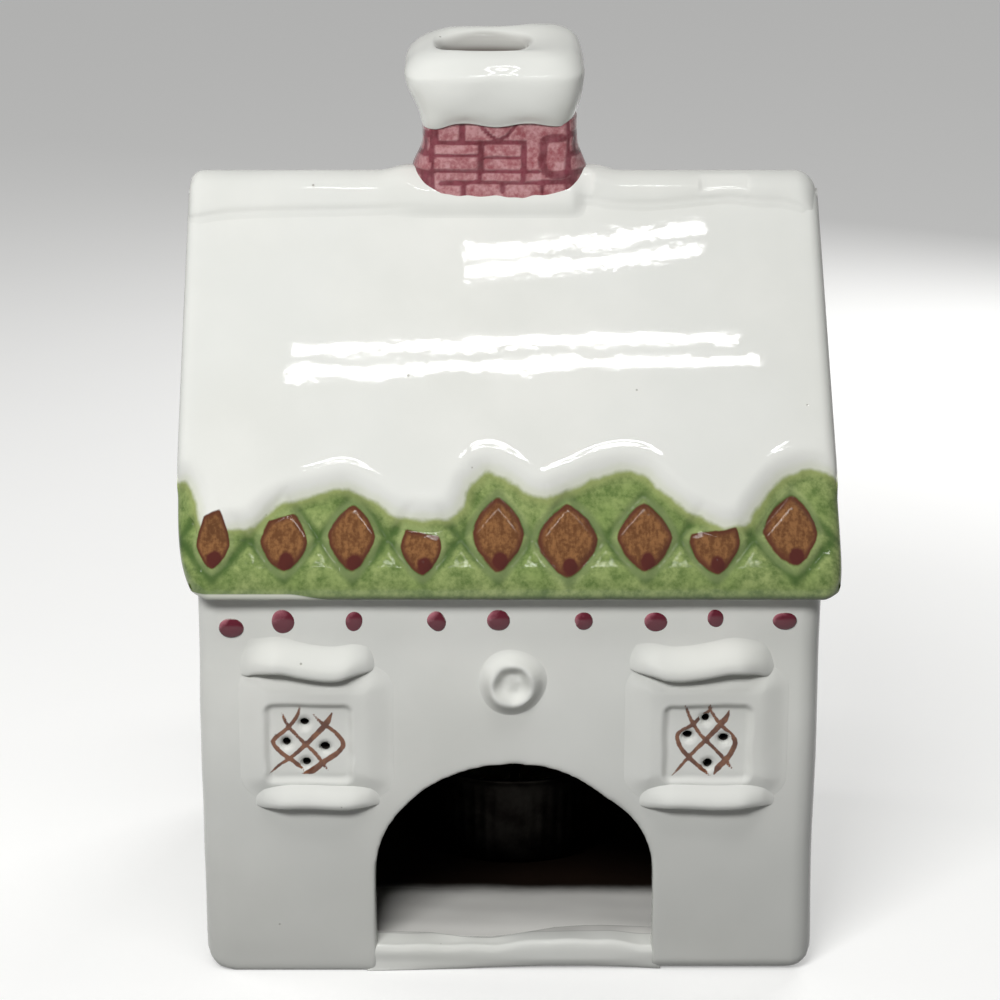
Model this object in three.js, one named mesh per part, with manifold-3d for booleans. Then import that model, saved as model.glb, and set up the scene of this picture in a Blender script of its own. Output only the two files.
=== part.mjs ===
// A glazed ceramic house for a tealight, 103 x 84 x 145 mm, with a snow-covered roof.
// The clay parts are kept apart at the joints where they are luted together before firing:
// a floor, four walls, two courses of eave tiles, two roof slabs, the snow laid on them, a
// chimney with its cap of snow, rafter beads, a wreath and six windows in relief. A tealight,
// burnt low, stands inside and slides out through the door.
// X runs across the front from left to right, Y from the front to the back, and Z up.
// The origin is on the table, under the middle of the house. Sizes are in millimetres.
import * as THREE from "three";
import { mergeVertices } from "three/addons/utils/BufferGeometryUtils.js";
import Module from "manifold-3d";

const wasm = await Module();
wasm.setup();

// Driving dimensions of the house.
const wallWidth = 97;
const wallDepth = 77;
const wallThickness = 5;
const cornerRadius = 3.5;
const footRadius = 4;
const floorThickness = 4;
const roofWidth = 103;
const roofPitch = THREE.MathUtils.degToRad(51.5);
const eaveReach = 42;
const eaveHeight = 67;
const eaveLip = 3.2;
const roofThickness = 5;
const tileCourse = 20;
const snowThickness = 1.75;
const snowLift = 0.65;
const ridgeHeight = 123;
const chimneyTop = 145;
const capFoot = 131;
const seam = 0.3;
// A length that reaches past the whole house, for bodies that only cut others.
const beyond = 200;

// Sizes that follow from the driving ones.
const front = -wallDepth / 2;
const halfWidth = wallWidth / 2;
const halfRoof = roofWidth / 2;
const innerHalfWidth = halfWidth - wallThickness;
const innerHalfDepth = wallDepth / 2 - wallThickness;
const slopeAcross = Math.cos(roofPitch);
const slopeUp = Math.sin(roofPitch);
const slopeLength = eaveReach / slopeAcross;

const glazeWhite = new THREE.MeshStandardMaterial({ color: 0xe3e4df, roughness: 0.16, metalness: 0 });
const tileGreen = new THREE.MeshStandardMaterial({ color: 0x7c9a52, roughness: 0.18, metalness: 0 });
const brickRed = new THREE.MeshStandardMaterial({ color: 0xa9606a, roughness: 0.2, metalness: 0 });
const beadRed = new THREE.MeshStandardMaterial({ color: 0x8a2438, roughness: 0.2, metalness: 0 });
const innerClay = new THREE.MeshStandardMaterial({ color: 0xb9b2a4, roughness: 0.6, metalness: 0 });
const darkTin = new THREE.MeshStandardMaterial({ color: 0x35302c, roughness: 0.45, metalness: 0.9 });
const paraffin = new THREE.MeshStandardMaterial({ color: 0xf0ece0, roughness: 0.5, metalness: 0 });
const cottonWick = new THREE.MeshStandardMaterial({ color: 0x4a4038, roughness: 0.9, metalness: 0 });

const house = new THREE.Group();
const tealight = new THREE.Group();
house.add(tealight);

// A closed geometry as a solid for joining and cutting.
function solidOf(geometry) {
  const bare = geometry.clone();
  bare.deleteAttribute("normal");
  bare.deleteAttribute("uv");
  const merged = mergeVertices(bare, 1e-4);
  return new wasm.Manifold(
    new wasm.Mesh({
      numProp: 3,
      vertProperties: merged.attributes.position.array,
      triVerts: new Uint32Array(merged.index.array),
    }),
  );
}

// A solid as a geometry with flat faces.
function geometryOf(solid) {
  const { vertProperties, triVerts } = solid.getMesh();
  const geometry = new THREE.BufferGeometry();
  geometry.setAttribute("position", new THREE.BufferAttribute(new Float32Array(vertProperties), 3));
  geometry.setIndex(new THREE.BufferAttribute(new Uint32Array(triVerts), 1));
  const flat = geometry.toNonIndexed();
  flat.computeVertexNormals();
  return flat;
}

function addPiece(name, geometry, material, parent = house) {
  const piece = new THREE.Mesh(geometry, material);
  piece.name = name;
  parent.add(piece);
  return piece;
}

// Straight-sided bodies: a plan pulled up, a front view pulled back and a side view pulled across.
const pulled = (shape, depth, curveSegments) =>
  new THREE.ExtrudeGeometry(shape, { depth, bevelEnabled: false, curveSegments });

function pullUp(shape, low, high, curveSegments = 6) {
  return pulled(shape, high - low, curveSegments).translate(0, 0, low);
}

function pullBack(shape, near, far, curveSegments = 6) {
  return pulled(shape, far - near, curveSegments).rotateX(Math.PI / 2).translate(0, far, 0);
}

function pullAcross(shape, left, right) {
  const geometry = pulled(shape, right - left, 6);
  const turn = new THREE.Matrix4().makeBasis(
    new THREE.Vector3(0, 1, 0),
    new THREE.Vector3(0, 0, 1),
    new THREE.Vector3(1, 0, 0),
  );
  return geometry.applyMatrix4(turn).translate(left, 0, 0);
}

// A rectangle with its corners rounded, from one corner to the opposite one.
function roundedRectangle(left, low, right, high, radius) {
  const shape = new THREE.Shape();
  shape.moveTo(left + radius, low);
  shape.lineTo(right - radius, low);
  shape.absarc(right - radius, low + radius, radius, -Math.PI / 2, 0, false);
  shape.lineTo(right, high - radius);
  shape.absarc(right - radius, high - radius, radius, 0, Math.PI / 2, false);
  shape.lineTo(left + radius, high);
  shape.absarc(left + radius, high - radius, radius, Math.PI / 2, Math.PI, false);
  shape.lineTo(left, low + radius);
  shape.absarc(left + radius, low + radius, radius, Math.PI, Math.PI * 1.5, false);
  return shape;
}

const outline = (points) => new THREE.Shape(points.map(([across, up]) => new THREE.Vector2(across, up)));
const mirrored = (points) => points.map(([across, up]) => [-across, up]).reverse();

// A point of the roof's front slope in side view: along it from the eave, and above its tiles.
const onSlope = (along, above) => [
  -eaveReach + along * slopeAcross - above * slopeUp,
  eaveHeight + along * slopeUp + above * slopeAcross,
];
// The height of a plane parallel to the tiles where it crosses a given depth.
const slopeHeight = (depth, above) =>
  eaveHeight + (eaveReach - Math.abs(depth)) * Math.tan(roofPitch) + above / slopeAcross;
// Everything below such a plane, front and back, as a side view.
const gableUnder = (above) => {
  const foot = 1.5 * eaveReach;
  return outline([
    [-foot, 0],
    [foot, 0],
    [foot, slopeHeight(foot, above)],
    [0, slopeHeight(0, above)],
    [-foot, slopeHeight(foot, above)],
  ]);
};

// The floor lies between the walls.
function makeFloor() {
  const floor = new THREE.BoxGeometry(
    2 * (innerHalfWidth - seam),
    2 * (innerHalfDepth - seam),
    floorThickness,
  ).translate(0, 0, floorThickness / 2);
  addPiece("floor_slab", floor, glazeWhite);
}

// The doorway: straight jambs under half an ellipse, a little to the right of the middle.
const door = { middle: 0.9, halfWidth: 21.8, springing: 17.3, rise: 18.1 };

function doorway() {
  const shape = new THREE.Shape();
  shape.moveTo(door.middle - door.halfWidth, -1);
  shape.lineTo(door.middle + door.halfWidth, -1);
  shape.lineTo(door.middle + door.halfWidth, door.springing);
  shape.absellipse(door.middle, door.springing, door.halfWidth, door.rise, 0, Math.PI, false);
  return solidOf(pullBack(shape, front - 1, -innerHalfDepth + 1, 20));
}

// Each pane is pierced by hand, so the holes differ a little from one pressing to another.
// A hole is given by its place across from the pane's middle and up from the foot of the sill.
const leftPressing = [
  [-0.65, 14.5],
  [-3.5, 11.2],
  [2.55, 10.4],
  [-0.45, 7.8],
];
const rightPressing = [
  [-0.3, 15.2],
  [-3.05, 12.4],
  [2.6, 11.9],
  [0.15, 7.6],
];
const drillRadius = 0.95;
const drillSides = 9;

// Each window as seen from outside its wall: where its middle and the foot of its sill are, how
// wide its surround is, how far its pane stands aside and how far its snow stands out.
const windowAt = (name, turn, middle, foot, width, paneShift, snow, holes) => {
  return { name, turn, middle, foot, width, paneShift, snow, holes };
};
const windows = [
  windowAt("front_left", 0, -30.1, 28.1, 19.8, -1.2, 2.9, leftPressing),
  windowAt("front_right", 0, 30.8, 28.1, 21.2, 0.2, 2.9, rightPressing),
  windowAt("back_left", Math.PI, -30.5, 28.1, 20.5, 0, 2.9, rightPressing),
  windowAt("back_right", Math.PI, 30.5, 28.1, 20.5, 0, 2.9, leftPressing),
  windowAt("right_side", Math.PI / 2, -8, 26, 23, 0, 1.6, leftPressing),
  windowAt("left_side", -Math.PI / 2, 8, 26, 23, 0, 1.6, rightPressing),
];
const surround = { foot: 4, height: 18, depth: 1.1, radius: 1.6 };
const lintelHeight = 6.2;
const pane = { width: 12.9, foot: 5.2, height: 12.2, recess: 0.9 };

function windowGroup(w) {
  const group = new THREE.Group();
  const reach = Math.abs(Math.sin(w.turn)) > 0.5 ? halfWidth : wallDepth / 2;
  group.rotation.z = w.turn;
  group.position.set(reach * Math.sin(w.turn), -reach * Math.cos(w.turn), 0);
  group.updateMatrixWorld(true);
  return group;
}

// The pierced holes of one window, drilled through its surround and the wall behind it.
function windowDrills(w) {
  return w.holes.map(([across, up]) =>
    new THREE.CylinderGeometry(drillRadius, drillRadius, 4 * wallThickness, drillSides).translate(
      w.middle + w.paneShift + across,
      0,
      w.foot + up,
    ),
  );
}

function drilledWall(wall, turn) {
  let cut = wall;
  for (const w of windows.filter((each) => each.turn === turn)) {
    const group = windowGroup(w);
    for (const drill of windowDrills(w)) cut = cut.subtract(solidOf(drill.applyMatrix4(group.matrixWorld)));
  }
  return cut;
}

// Four walls: the long ones run to the corners, and the gables stand between them.
function makeWalls() {
  const plan = roundedRectangle(-halfWidth, front, halfWidth, -front, cornerRadius);
  const face = roundedRectangle(-halfWidth, 0, halfWidth, beyond, footRadius);
  const block = solidOf(pullUp(plan, 0, beyond)).intersect(solidOf(pullBack(face, front, -front)));
  const underRoof = solidOf(pullAcross(gableUnder(-roofThickness - seam), -halfWidth, halfWidth));
  const blank = block.intersect(underRoof);
  const frontHalf = solidOf(
    new THREE.BoxGeometry(beyond, beyond, beyond).translate(0, -innerHalfDepth - beyond / 2, beyond / 2),
  );
  const between = 2 * (innerHalfDepth - seam);
  const rightHalf = solidOf(
    new THREE.BoxGeometry(beyond, between, beyond).translate(innerHalfWidth + beyond / 2, 0, beyond / 2),
  );
  const addWall = (name, wall, turn) => addPiece(name, geometryOf(drilledWall(wall, turn)), glazeWhite);

  addWall("front_wall", blank.intersect(frontHalf).subtract(doorway()), 0);
  addWall("back_wall", blank.intersect(frontHalf.mirror([0, 1, 0])), Math.PI);
  addWall("right_gable_wall", blank.intersect(rightHalf), Math.PI / 2);
  addWall("left_gable_wall", blank.intersect(rightHalf.mirror([1, 0, 0])), -Math.PI / 2);
}

// The doorstep, with a low bank of snow that swells past the wall.
function makeDoorstep() {
  const top = floorThickness + 0.9;
  const step = outline([
    [front - 0.6, 0],
    [-innerHalfDepth - seam, 0],
    [-innerHalfDepth - seam, top - 0.5],
    [-innerHalfDepth - 1, top],
    [front - 0.2, top],
    [front - 1.1, top - 0.8],
    [front - 1.3, 2],
  ]);
  const clear = door.halfWidth - seam;
  addPiece("doorstep_snow", pullAcross(step, door.middle - clear, door.middle + clear), glazeWhite);
}

// A round wreath in relief over the door.
function makeWreath() {
  const middle = { across: 0.5, up: 49.4 };
  const [inner, outer, height] = [1.9, 4.7, 1.7];
  const steps = 5;
  const profile = [];
  for (let i = 0; i <= steps; i++) {
    const angle = (Math.PI * i) / steps;
    const radius = (inner + outer) / 2 + ((outer - inner) / 2) * Math.cos(angle);
    profile.push(new THREE.Vector2(radius, height * Math.sin(angle)));
  }
  profile.push(profile[0].clone());
  const ring = new THREE.LatheGeometry(profile, 22);
  const wreath = addPiece("wreath", geometryOf(solidOf(ring)), glazeWhite);
  wreath.rotation.x = Math.PI;
  wreath.position.set(middle.across, front - seam, middle.up);
}

// The rafter ends: a row of small clay beads under each eave.
const bead = { radius: 1.55, height: 0.95, up: 59.4 };
const beadPlaces = [-43.0, -34.9, -23.9, -11.2, -1.7, 11.5, 22.7, 31.8, 42.5];

function makeBeads() {
  const steps = 3;
  const profile = [new THREE.Vector2(0, 0)];
  for (let i = 0; i < steps; i++) {
    const angle = (Math.PI * i) / (2 * steps);
    profile.push(new THREE.Vector2(bead.radius * Math.cos(angle), bead.height * Math.sin(angle)));
  }
  profile.push(new THREE.Vector2(0, bead.height));
  const dome = geometryOf(solidOf(new THREE.LatheGeometry(profile, 10)));
  beadPlaces.forEach((across, i) => {
    const near = addPiece(`front_rafter_bead_${i + 1}`, dome, beadRed);
    near.rotation.x = Math.PI;
    near.position.set(across, front - seam, bead.up);
    const far = addPiece(`back_rafter_bead_${i + 1}`, dome, beadRed);
    far.position.set(-across, -front + seam, bead.up);
  });
}

// A window: a raised surround with a sunk pane, snow on its lintel and snow on its sill.
function snowRoll(foot, height, depth, left, right) {
  const roll = outline([
    [-seam, foot],
    [-depth * 0.75, foot + height * 0.02],
    [-depth, foot + height * 0.22],
    [-depth * 0.92, foot + height * 0.5],
    [-depth * 0.6, foot + height * 0.82],
    [-seam, foot + height],
  ]);
  const ends = roundedRectangle(left, foot - 0.5, right, foot + height + 0.5, Math.min(height / 2, 2.5));
  return solidOf(pullAcross(roll, left, right)).intersect(solidOf(pullBack(ends, -depth - 1, 1, 4)));
}

function makeWindow(w) {
  const group = windowGroup(w);
  house.add(group);
  const left = w.middle - w.width / 2;
  const right = w.middle + w.width / 2;
  const low = w.foot + surround.foot;
  const plateOutline = roundedRectangle(left, low, right, low + surround.height, surround.radius);
  const paneLeft = w.middle + w.paneShift - pane.width / 2;
  const paneLow = w.foot + pane.foot;
  const paneOutline = roundedRectangle(paneLeft, paneLow, paneLeft + pane.width, paneLow + pane.height, 1);
  const plate = solidOf(pullBack(plateOutline, -seam - surround.depth, -seam, 4));
  const pocket = solidOf(
    pullBack(paneOutline, -seam - surround.depth - 1, -seam - surround.depth + pane.recess, 3),
  );
  let cut = plate.subtract(pocket);
  for (const drill of windowDrills(w)) cut = cut.subtract(solidOf(drill));
  addPiece(`${w.name}_window_surround`, geometryOf(cut), glazeWhite, group);

  const lintelFoot = w.foot + surround.foot + surround.height + seam;
  const lintel = snowRoll(lintelFoot, lintelHeight, w.snow, left - 1.6, right + 0.6);
  addPiece(`${w.name}_window_lintel_snow`, geometryOf(lintel), glazeWhite, group);
  const sill = snowRoll(w.foot, surround.foot - seam, 0.8 * w.snow, left + 0.3, right + 0.3);
  addPiece(`${w.name}_window_sill_snow`, geometryOf(sill), glazeWhite, group);
}

// The lower edge of the snow on the tiles: its lobes and the bays between them, joined by
// half waves. Each entry is a place across the roof and the distance up from the eave.
const snowLobes = [
  [-halfRoof, 16.3],
  [-43.8, 8],
  [-25.3, 15],
  [-12.6, 9.6],
  [-3.7, 17.6],
  [5.6, 13.4],
  [17.6, 17.8],
  [34, 8.5],
  [47, 18.1],
  [halfRoof, 17],
];

function snowEdge() {
  const edge = [];
  const steps = 5;
  for (let i = 1; i < snowLobes.length; i++) {
    const [x0, s0] = snowLobes[i - 1];
    const [x1, s1] = snowLobes[i];
    for (let k = 0; k < steps; k++) {
      const share = k / steps;
      edge.push([x0 + (x1 - x0) * share, s0 + (s1 - s0) * (0.5 - 0.5 * Math.cos(Math.PI * share))]);
    }
  }
  edge.push(snowLobes.at(-1));
  return edge;
}

// Turns a body drawn flat, X across and Y up the slope, onto the front slope of the roof.
function layOnSlope(geometry) {
  const turn = new THREE.Matrix4().makeBasis(
    new THREE.Vector3(1, 0, 0),
    new THREE.Vector3(0, slopeAcross, slopeUp),
    new THREE.Vector3(0, -slopeUp, slopeAcross),
  );
  turn.setPosition(0, -eaveReach, eaveHeight);
  return geometry.applyMatrix4(turn);
}

// The same body on the other slope.
const toBack = (solid) => solid.mirror([0, 1, 0]);

// Diamond tiles stand a little proud of each course, one for every pitch of the pattern.
const tileRow = { first: -45.3, pitch: 11.15, count: 9, up: 7.4 };
const diamond = { halfWidth: 4.1, halfHeight: 5.6, proud: 0.35 };

function tileBosses() {
  const bosses = [];
  for (let i = 0; i < tileRow.count; i++) {
    const middle = tileRow.first + i * tileRow.pitch;
    const lozenge = outline([
      [middle, tileRow.up - diamond.halfHeight],
      [middle + diamond.halfWidth, tileRow.up],
      [middle, tileRow.up + diamond.halfHeight],
      [middle - diamond.halfWidth, tileRow.up],
    ]);
    bosses.push(layOnSlope(pullUp(lozenge, -1, diamond.proud)));
  }
  return bosses;
}

// Each half of the roof: a course of tiles along the eave, and a plain slab up to the ridge.
function makeRoof() {
  const slab = [
    onSlope(tileCourse + seam, 0),
    onSlope(tileCourse + seam, -roofThickness),
    [-seam / 2, slopeHeight(seam / 2, -roofThickness)],
    [-seam / 2, slopeHeight(seam / 2, 0)],
  ];
  const soffit = eaveHeight - eaveLip;
  const soffitDepth = -eaveReach + (roofThickness / slopeAcross - eaveLip) / Math.tan(roofPitch);
  const course = [
    [-eaveReach, eaveHeight - 0.6],
    [-eaveReach, soffit + 1],
    [-eaveReach + 0.8, soffit],
    [soffitDepth, soffit],
    onSlope(tileCourse, -roofThickness),
    onSlope(tileCourse, 0),
    onSlope(0.9, 0),
  ];
  const corners = roundedRectangle(-halfRoof, -eaveLip - 1, halfRoof, beyond, 5);
  const trim = solidOf(layOnSlope(pullUp(corners, -beyond, beyond)));
  let tiles = solidOf(pullAcross(outline(course), -halfRoof, halfRoof)).intersect(trim);
  for (const boss of tileBosses()) tiles = tiles.add(solidOf(boss));
  const plain = solidOf(pullAcross(outline(slab), -halfRoof, halfRoof));
  const sleeve = flue(flueClearance);

  addPiece("tile_course_front", geometryOf(tiles), tileGreen);
  addPiece("tile_course_back", geometryOf(toBack(tiles)), tileGreen);
  addPiece("roof_slab_front", geometryOf(plain.subtract(sleeve)), innerClay);
  addPiece("roof_slab_back", geometryOf(toBack(plain).subtract(sleeve)), innerClay);
}

// The snow on each slope ends under the snow of the ridge, and hangs over the tiles in lobes.
const ridgeFoot = 61.2;
const snowTop = snowLift + snowThickness;

function makeSnow() {
  const top = ridgeFoot - seam;
  const round = 0.5;
  const shape = outline([[-halfRoof, top], ...snowEdge(), [halfRoof, top]]);
  const sheet = new THREE.ExtrudeGeometry(shape, {
    depth: snowThickness - 2 * round,
    bevelEnabled: true,
    bevelThickness: round,
    bevelSize: round,
    bevelOffset: -round,
    bevelSegments: 2,
  }).translate(0, 0, snowLift + round);
  const blanket = solidOf(layOnSlope(sheet));
  const stack = solidOf(stackOutline(seam, stackFoot, chimneyTop));
  addPiece("snow_blanket_front", geometryOf(blanket.subtract(stack)), glazeWhite);
  addPiece("snow_blanket_back", geometryOf(toBack(blanket).subtract(stack)), glazeWhite);

  const shoulder = [
    onSlope(ridgeFoot, seam),
    onSlope(ridgeFoot, snowTop),
    onSlope(62.6, snowTop + 0.75),
    [-4.3, ridgeHeight - 2.9],
    [-2.9, ridgeHeight - 1.3],
    [-1.4, ridgeHeight - 0.3],
  ].reverse();
  const bar = outline([...shoulder, [0, slopeHeight(0, seam)], ...mirrored(shoulder), [0, ridgeHeight]]);
  const barEnds = roundedRectangle(-halfRoof, 0, halfRoof, ridgeHeight, 2.5);
  const roll = solidOf(pullAcross(bar, -halfRoof, halfRoof)).intersect(
    solidOf(pullBack(barEnds, -eaveReach, eaveReach, 4)),
  );
  const [x, y] = [chimney.middle, chimney.back];
  const collar = ringLoft(
    [
      { up: 112, x, y, halfX: 15.4, halfY: 10.3 },
      { up: 116, x, y, halfX: 15.4, halfY: 9.2 },
      { up: 118.6, x, y, halfX: 15.2, halfY: 7.7 },
      { up: ridgeHeight, x, y: 0, halfX: 15, halfY: 4 },
      { up: ridgeHeight + 0.8, x, y: 0, halfX: 14.4, halfY: 2.4 },
    ],
    4,
  );
  const overSnow = solidOf(pullAcross(gableUnder(snowTop + seam), -halfRoof, halfRoof));
  const heap = roll.add(solidOf(collar).subtract(overSnow)).subtract(stack);
  addPiece("ridge_snow", geometryOf(largest(heap)), glazeWhite);
}

function largest(solid) {
  return solid.decompose().reduce((best, each) => (each.volume() > best.volume() ? each : best));
}

// The chimney: a four-sided brick stack on the ridge, set a little back, with a flue through
// it and a cap of snow. Its front and back are flat, and its sides swell between them.
const chimney = { middle: -1.6, back: 1.4, halfX: 11.3, swell: 2, halfY: 6.5 };
const flueSize = { middle: -4, halfX: 6.3, halfY: 4.2, radius: 3 };
const flueClearance = 1.2;
const stackFoot = 90;

function stackOutline(grow, low, high) {
  const [left, right] = [chimney.middle - chimney.halfX - grow, chimney.middle + chimney.halfX + grow];
  const [near, far] = [chimney.back - chimney.halfY - grow, chimney.back + chimney.halfY + grow];
  const plan = new THREE.Shape();
  plan.moveTo(left, near);
  plan.lineTo(right, near);
  plan.quadraticCurveTo(right + 2 * chimney.swell, chimney.back, right, far);
  plan.lineTo(left, far);
  plan.quadraticCurveTo(left - 2 * chimney.swell, chimney.back, left, near);
  return pullUp(plan, low, high, 6);
}

function flue(grow = 0) {
  const { middle, halfX, halfY, radius } = flueSize;
  const [wide, deep] = [halfX + grow, halfY + grow];
  const [near, far] = [chimney.back - deep, chimney.back + deep];
  return solidOf(pullUp(roundedRectangle(middle - wide, near, middle + wide, far, radius), 0, beyond, 4));
}

// A body lofted through level rings; each ring is a squarish oval of the given power.
function ringLoft(rings, power) {
  const sides = 32;
  const points = [];
  for (const ring of rings) {
    for (let i = 0; i < sides; i++) {
      const angle = (2 * Math.PI * i) / sides;
      const [c, s] = [Math.cos(angle), Math.sin(angle)];
      const swell = (Math.abs(c) ** power + Math.abs(s) ** power) ** (-1 / power);
      points.push(ring.x + ring.halfX * c * swell, ring.y + ring.halfY * s * swell, ring.up);
    }
  }
  const low = points.length / 3;
  const [first, last] = [rings[0], rings.at(-1)];
  points.push(first.x, first.y, first.up, last.x, last.y, last.up);
  const faces = [];
  for (let i = 0; i < sides; i++) {
    const next = (i + 1) % sides;
    faces.push(low, next, i);
    for (let r = 0; r < rings.length - 1; r++) {
      const [a, b] = [r * sides + i, r * sides + next];
      faces.push(a, b, b + sides, a, b + sides, a + sides);
    }
    const rim = (rings.length - 1) * sides;
    faces.push(low + 1, rim + i, rim + next);
  }
  const geometry = new THREE.BufferGeometry();
  geometry.setAttribute("position", new THREE.Float32BufferAttribute(points, 3));
  geometry.setIndex(faces);
  return geometry;
}

function makeChimney() {
  const overTiles = solidOf(pullAcross(gableUnder(seam), -halfRoof, halfRoof));
  const stack = solidOf(stackOutline(0, stackFoot, capFoot - seam)).subtract(overTiles).subtract(flue());
  addPiece("chimney_stack", geometryOf(largest(stack)), brickRed);

  const cap = ringLoft(
    [
      { up: capFoot, x: -1.6, y: 1.4, halfX: 12.6, halfY: 6.8 },
      { up: capFoot + 2, x: -1.8, y: 1.4, halfX: 13, halfY: 7.5 },
      { up: capFoot + 4.5, x: -2.1, y: 1.5, halfX: 13.9, halfY: 8.9 },
      { up: capFoot + 7.5, x: -2.3, y: 1.5, halfX: 14.4, halfY: 10 },
      { up: capFoot + 9.8, x: -2.3, y: 1.6, halfX: 14.2, halfY: 10.2 },
      { up: capFoot + 11.6, x: -2.3, y: 1.7, halfX: 13.2, halfY: 9.4 },
      { up: chimneyTop - 1, x: -2.3, y: 1.9, halfX: 11.4, halfY: 7.8 },
      { up: chimneyTop, x: -2.4, y: 2.3, halfX: 9, halfY: 5.6 },
    ],
    3.6,
  );
  addPiece("chimney_snow_cap", geometryOf(solidOf(cap).subtract(flue())), glazeWhite);
}

// The tealight stands at the back of the room, where the doorway's light doesn't reach. Most of
// its wax is burnt, and what is left lies low round the wick.
const light = { radius: 19, height: 15.5, foil: 0.5, depth: 12, across: 0.9, waxTop: 6.2, sides: 28 };
const wickHolder = { discRadius: 6.2, neckRadius: 1.9, boreRadius: 1.25, top: 4.4 };

function turnedBody(points, sides) {
  const profile = points.map(([radius, up]) => new THREE.Vector2(radius, up));
  return geometryOf(solidOf(new THREE.LatheGeometry(profile, sides).rotateX(Math.PI / 2)));
}

function makeTealight() {
  tealight.position.set(light.across, light.depth, floorThickness + seam);
  const rim = light.radius;
  const foot = light.radius - 0.8;
  const inside = foot - light.foil;
  const cup = [
    [0, 0],
    [foot - 0.6, 0],
    [foot, 0.6],
    [rim - 0.5, light.height - 0.5],
    [rim, light.height - 0.3],
    [rim, light.height],
    [rim - 1, light.height],
    [inside, 1.1],
    [inside - 0.6, light.foil],
    [0, light.foil],
  ];
  addPiece("tealight_cup", turnedBody(cup, light.sides), darkTin, tealight);

  const waxFoot = light.foil + seam;
  const clear = wickHolder.discRadius + seam;
  const neck = wickHolder.neckRadius + seam;
  const wax = [
    [clear, waxFoot],
    [inside - 1, waxFoot],
    [inside - seam, waxFoot + 0.8],
    [inside - seam, light.waxTop],
    [inside - 3, light.waxTop - 0.5],
    [neck + 1.5, light.waxTop - 0.9],
    [neck, light.waxTop - 0.6],
    [neck, waxFoot + 0.8],
    [clear, waxFoot + 0.8],
    [clear, waxFoot],
  ];
  addPiece("tealight_wax", turnedBody(wax, light.sides), paraffin, tealight);

  const holder = [
    [wickHolder.boreRadius, waxFoot],
    [wickHolder.discRadius, waxFoot],
    [wickHolder.discRadius, waxFoot + 0.4],
    [wickHolder.neckRadius, waxFoot + 0.5],
    [wickHolder.neckRadius, wickHolder.top],
    [wickHolder.boreRadius, wickHolder.top],
    [wickHolder.boreRadius, waxFoot],
  ];
  addPiece("tealight_wick_holder", turnedBody(holder, 16), darkTin, tealight);

  const path = new THREE.CatmullRomCurve3([
    new THREE.Vector3(0, 0, waxFoot + 0.2),
    new THREE.Vector3(0, 0, 4),
    new THREE.Vector3(0.1, 0, 8),
    new THREE.Vector3(0.8, 0.3, 10.5),
    new THREE.Vector3(2, 0.8, 12),
  ]);
  const section = new THREE.Shape().absarc(0, 0, 0.85, 0, 2 * Math.PI, false);
  const wick = new THREE.ExtrudeGeometry(section, { steps: 9, curveSegments: 7, extrudePath: path });
  addPiece("tealight_wick", geometryOf(solidOf(wick)), cottonWick, tealight);
}

makeFloor();
makeWalls();
makeDoorstep();
makeWreath();
makeBeads();
for (const w of windows) makeWindow(w);
makeRoof();
makeSnow();
makeChimney();
makeTealight();

export default house;
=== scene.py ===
import math

import bmesh
import bpy
import numpy as np
from mathutils import Matrix, Vector


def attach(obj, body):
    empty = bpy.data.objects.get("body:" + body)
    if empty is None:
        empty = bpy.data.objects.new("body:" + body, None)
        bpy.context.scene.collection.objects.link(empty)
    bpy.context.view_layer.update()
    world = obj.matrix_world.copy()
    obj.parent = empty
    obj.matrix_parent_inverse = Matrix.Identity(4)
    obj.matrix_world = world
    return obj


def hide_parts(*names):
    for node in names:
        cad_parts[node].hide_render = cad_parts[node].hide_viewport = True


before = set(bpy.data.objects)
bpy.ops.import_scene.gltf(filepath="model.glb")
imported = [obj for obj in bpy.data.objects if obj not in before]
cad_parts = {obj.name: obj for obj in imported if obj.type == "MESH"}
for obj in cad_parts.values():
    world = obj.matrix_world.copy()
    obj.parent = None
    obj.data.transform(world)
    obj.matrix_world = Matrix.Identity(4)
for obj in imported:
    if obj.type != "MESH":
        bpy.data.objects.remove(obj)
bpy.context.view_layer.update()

# The camera stands 463 mm in front of the house's middle and looks down on it at 17 degrees,
# as the photograph does, through a medium telephoto lens.
camera_data = bpy.data.cameras.new("camera")
camera_data.sensor_width = 36
camera_data.lens = 104.9
camera_data.clip_start = 0.01
camera = bpy.data.objects.new("camera", camera_data)
camera.location = (-0.0014, -0.4633, 0.2089)
camera.rotation_euler = (math.radians(90 - 17), 0, 0)
bpy.context.scene.collection.objects.link(camera)
bpy.context.scene.camera = camera


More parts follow.
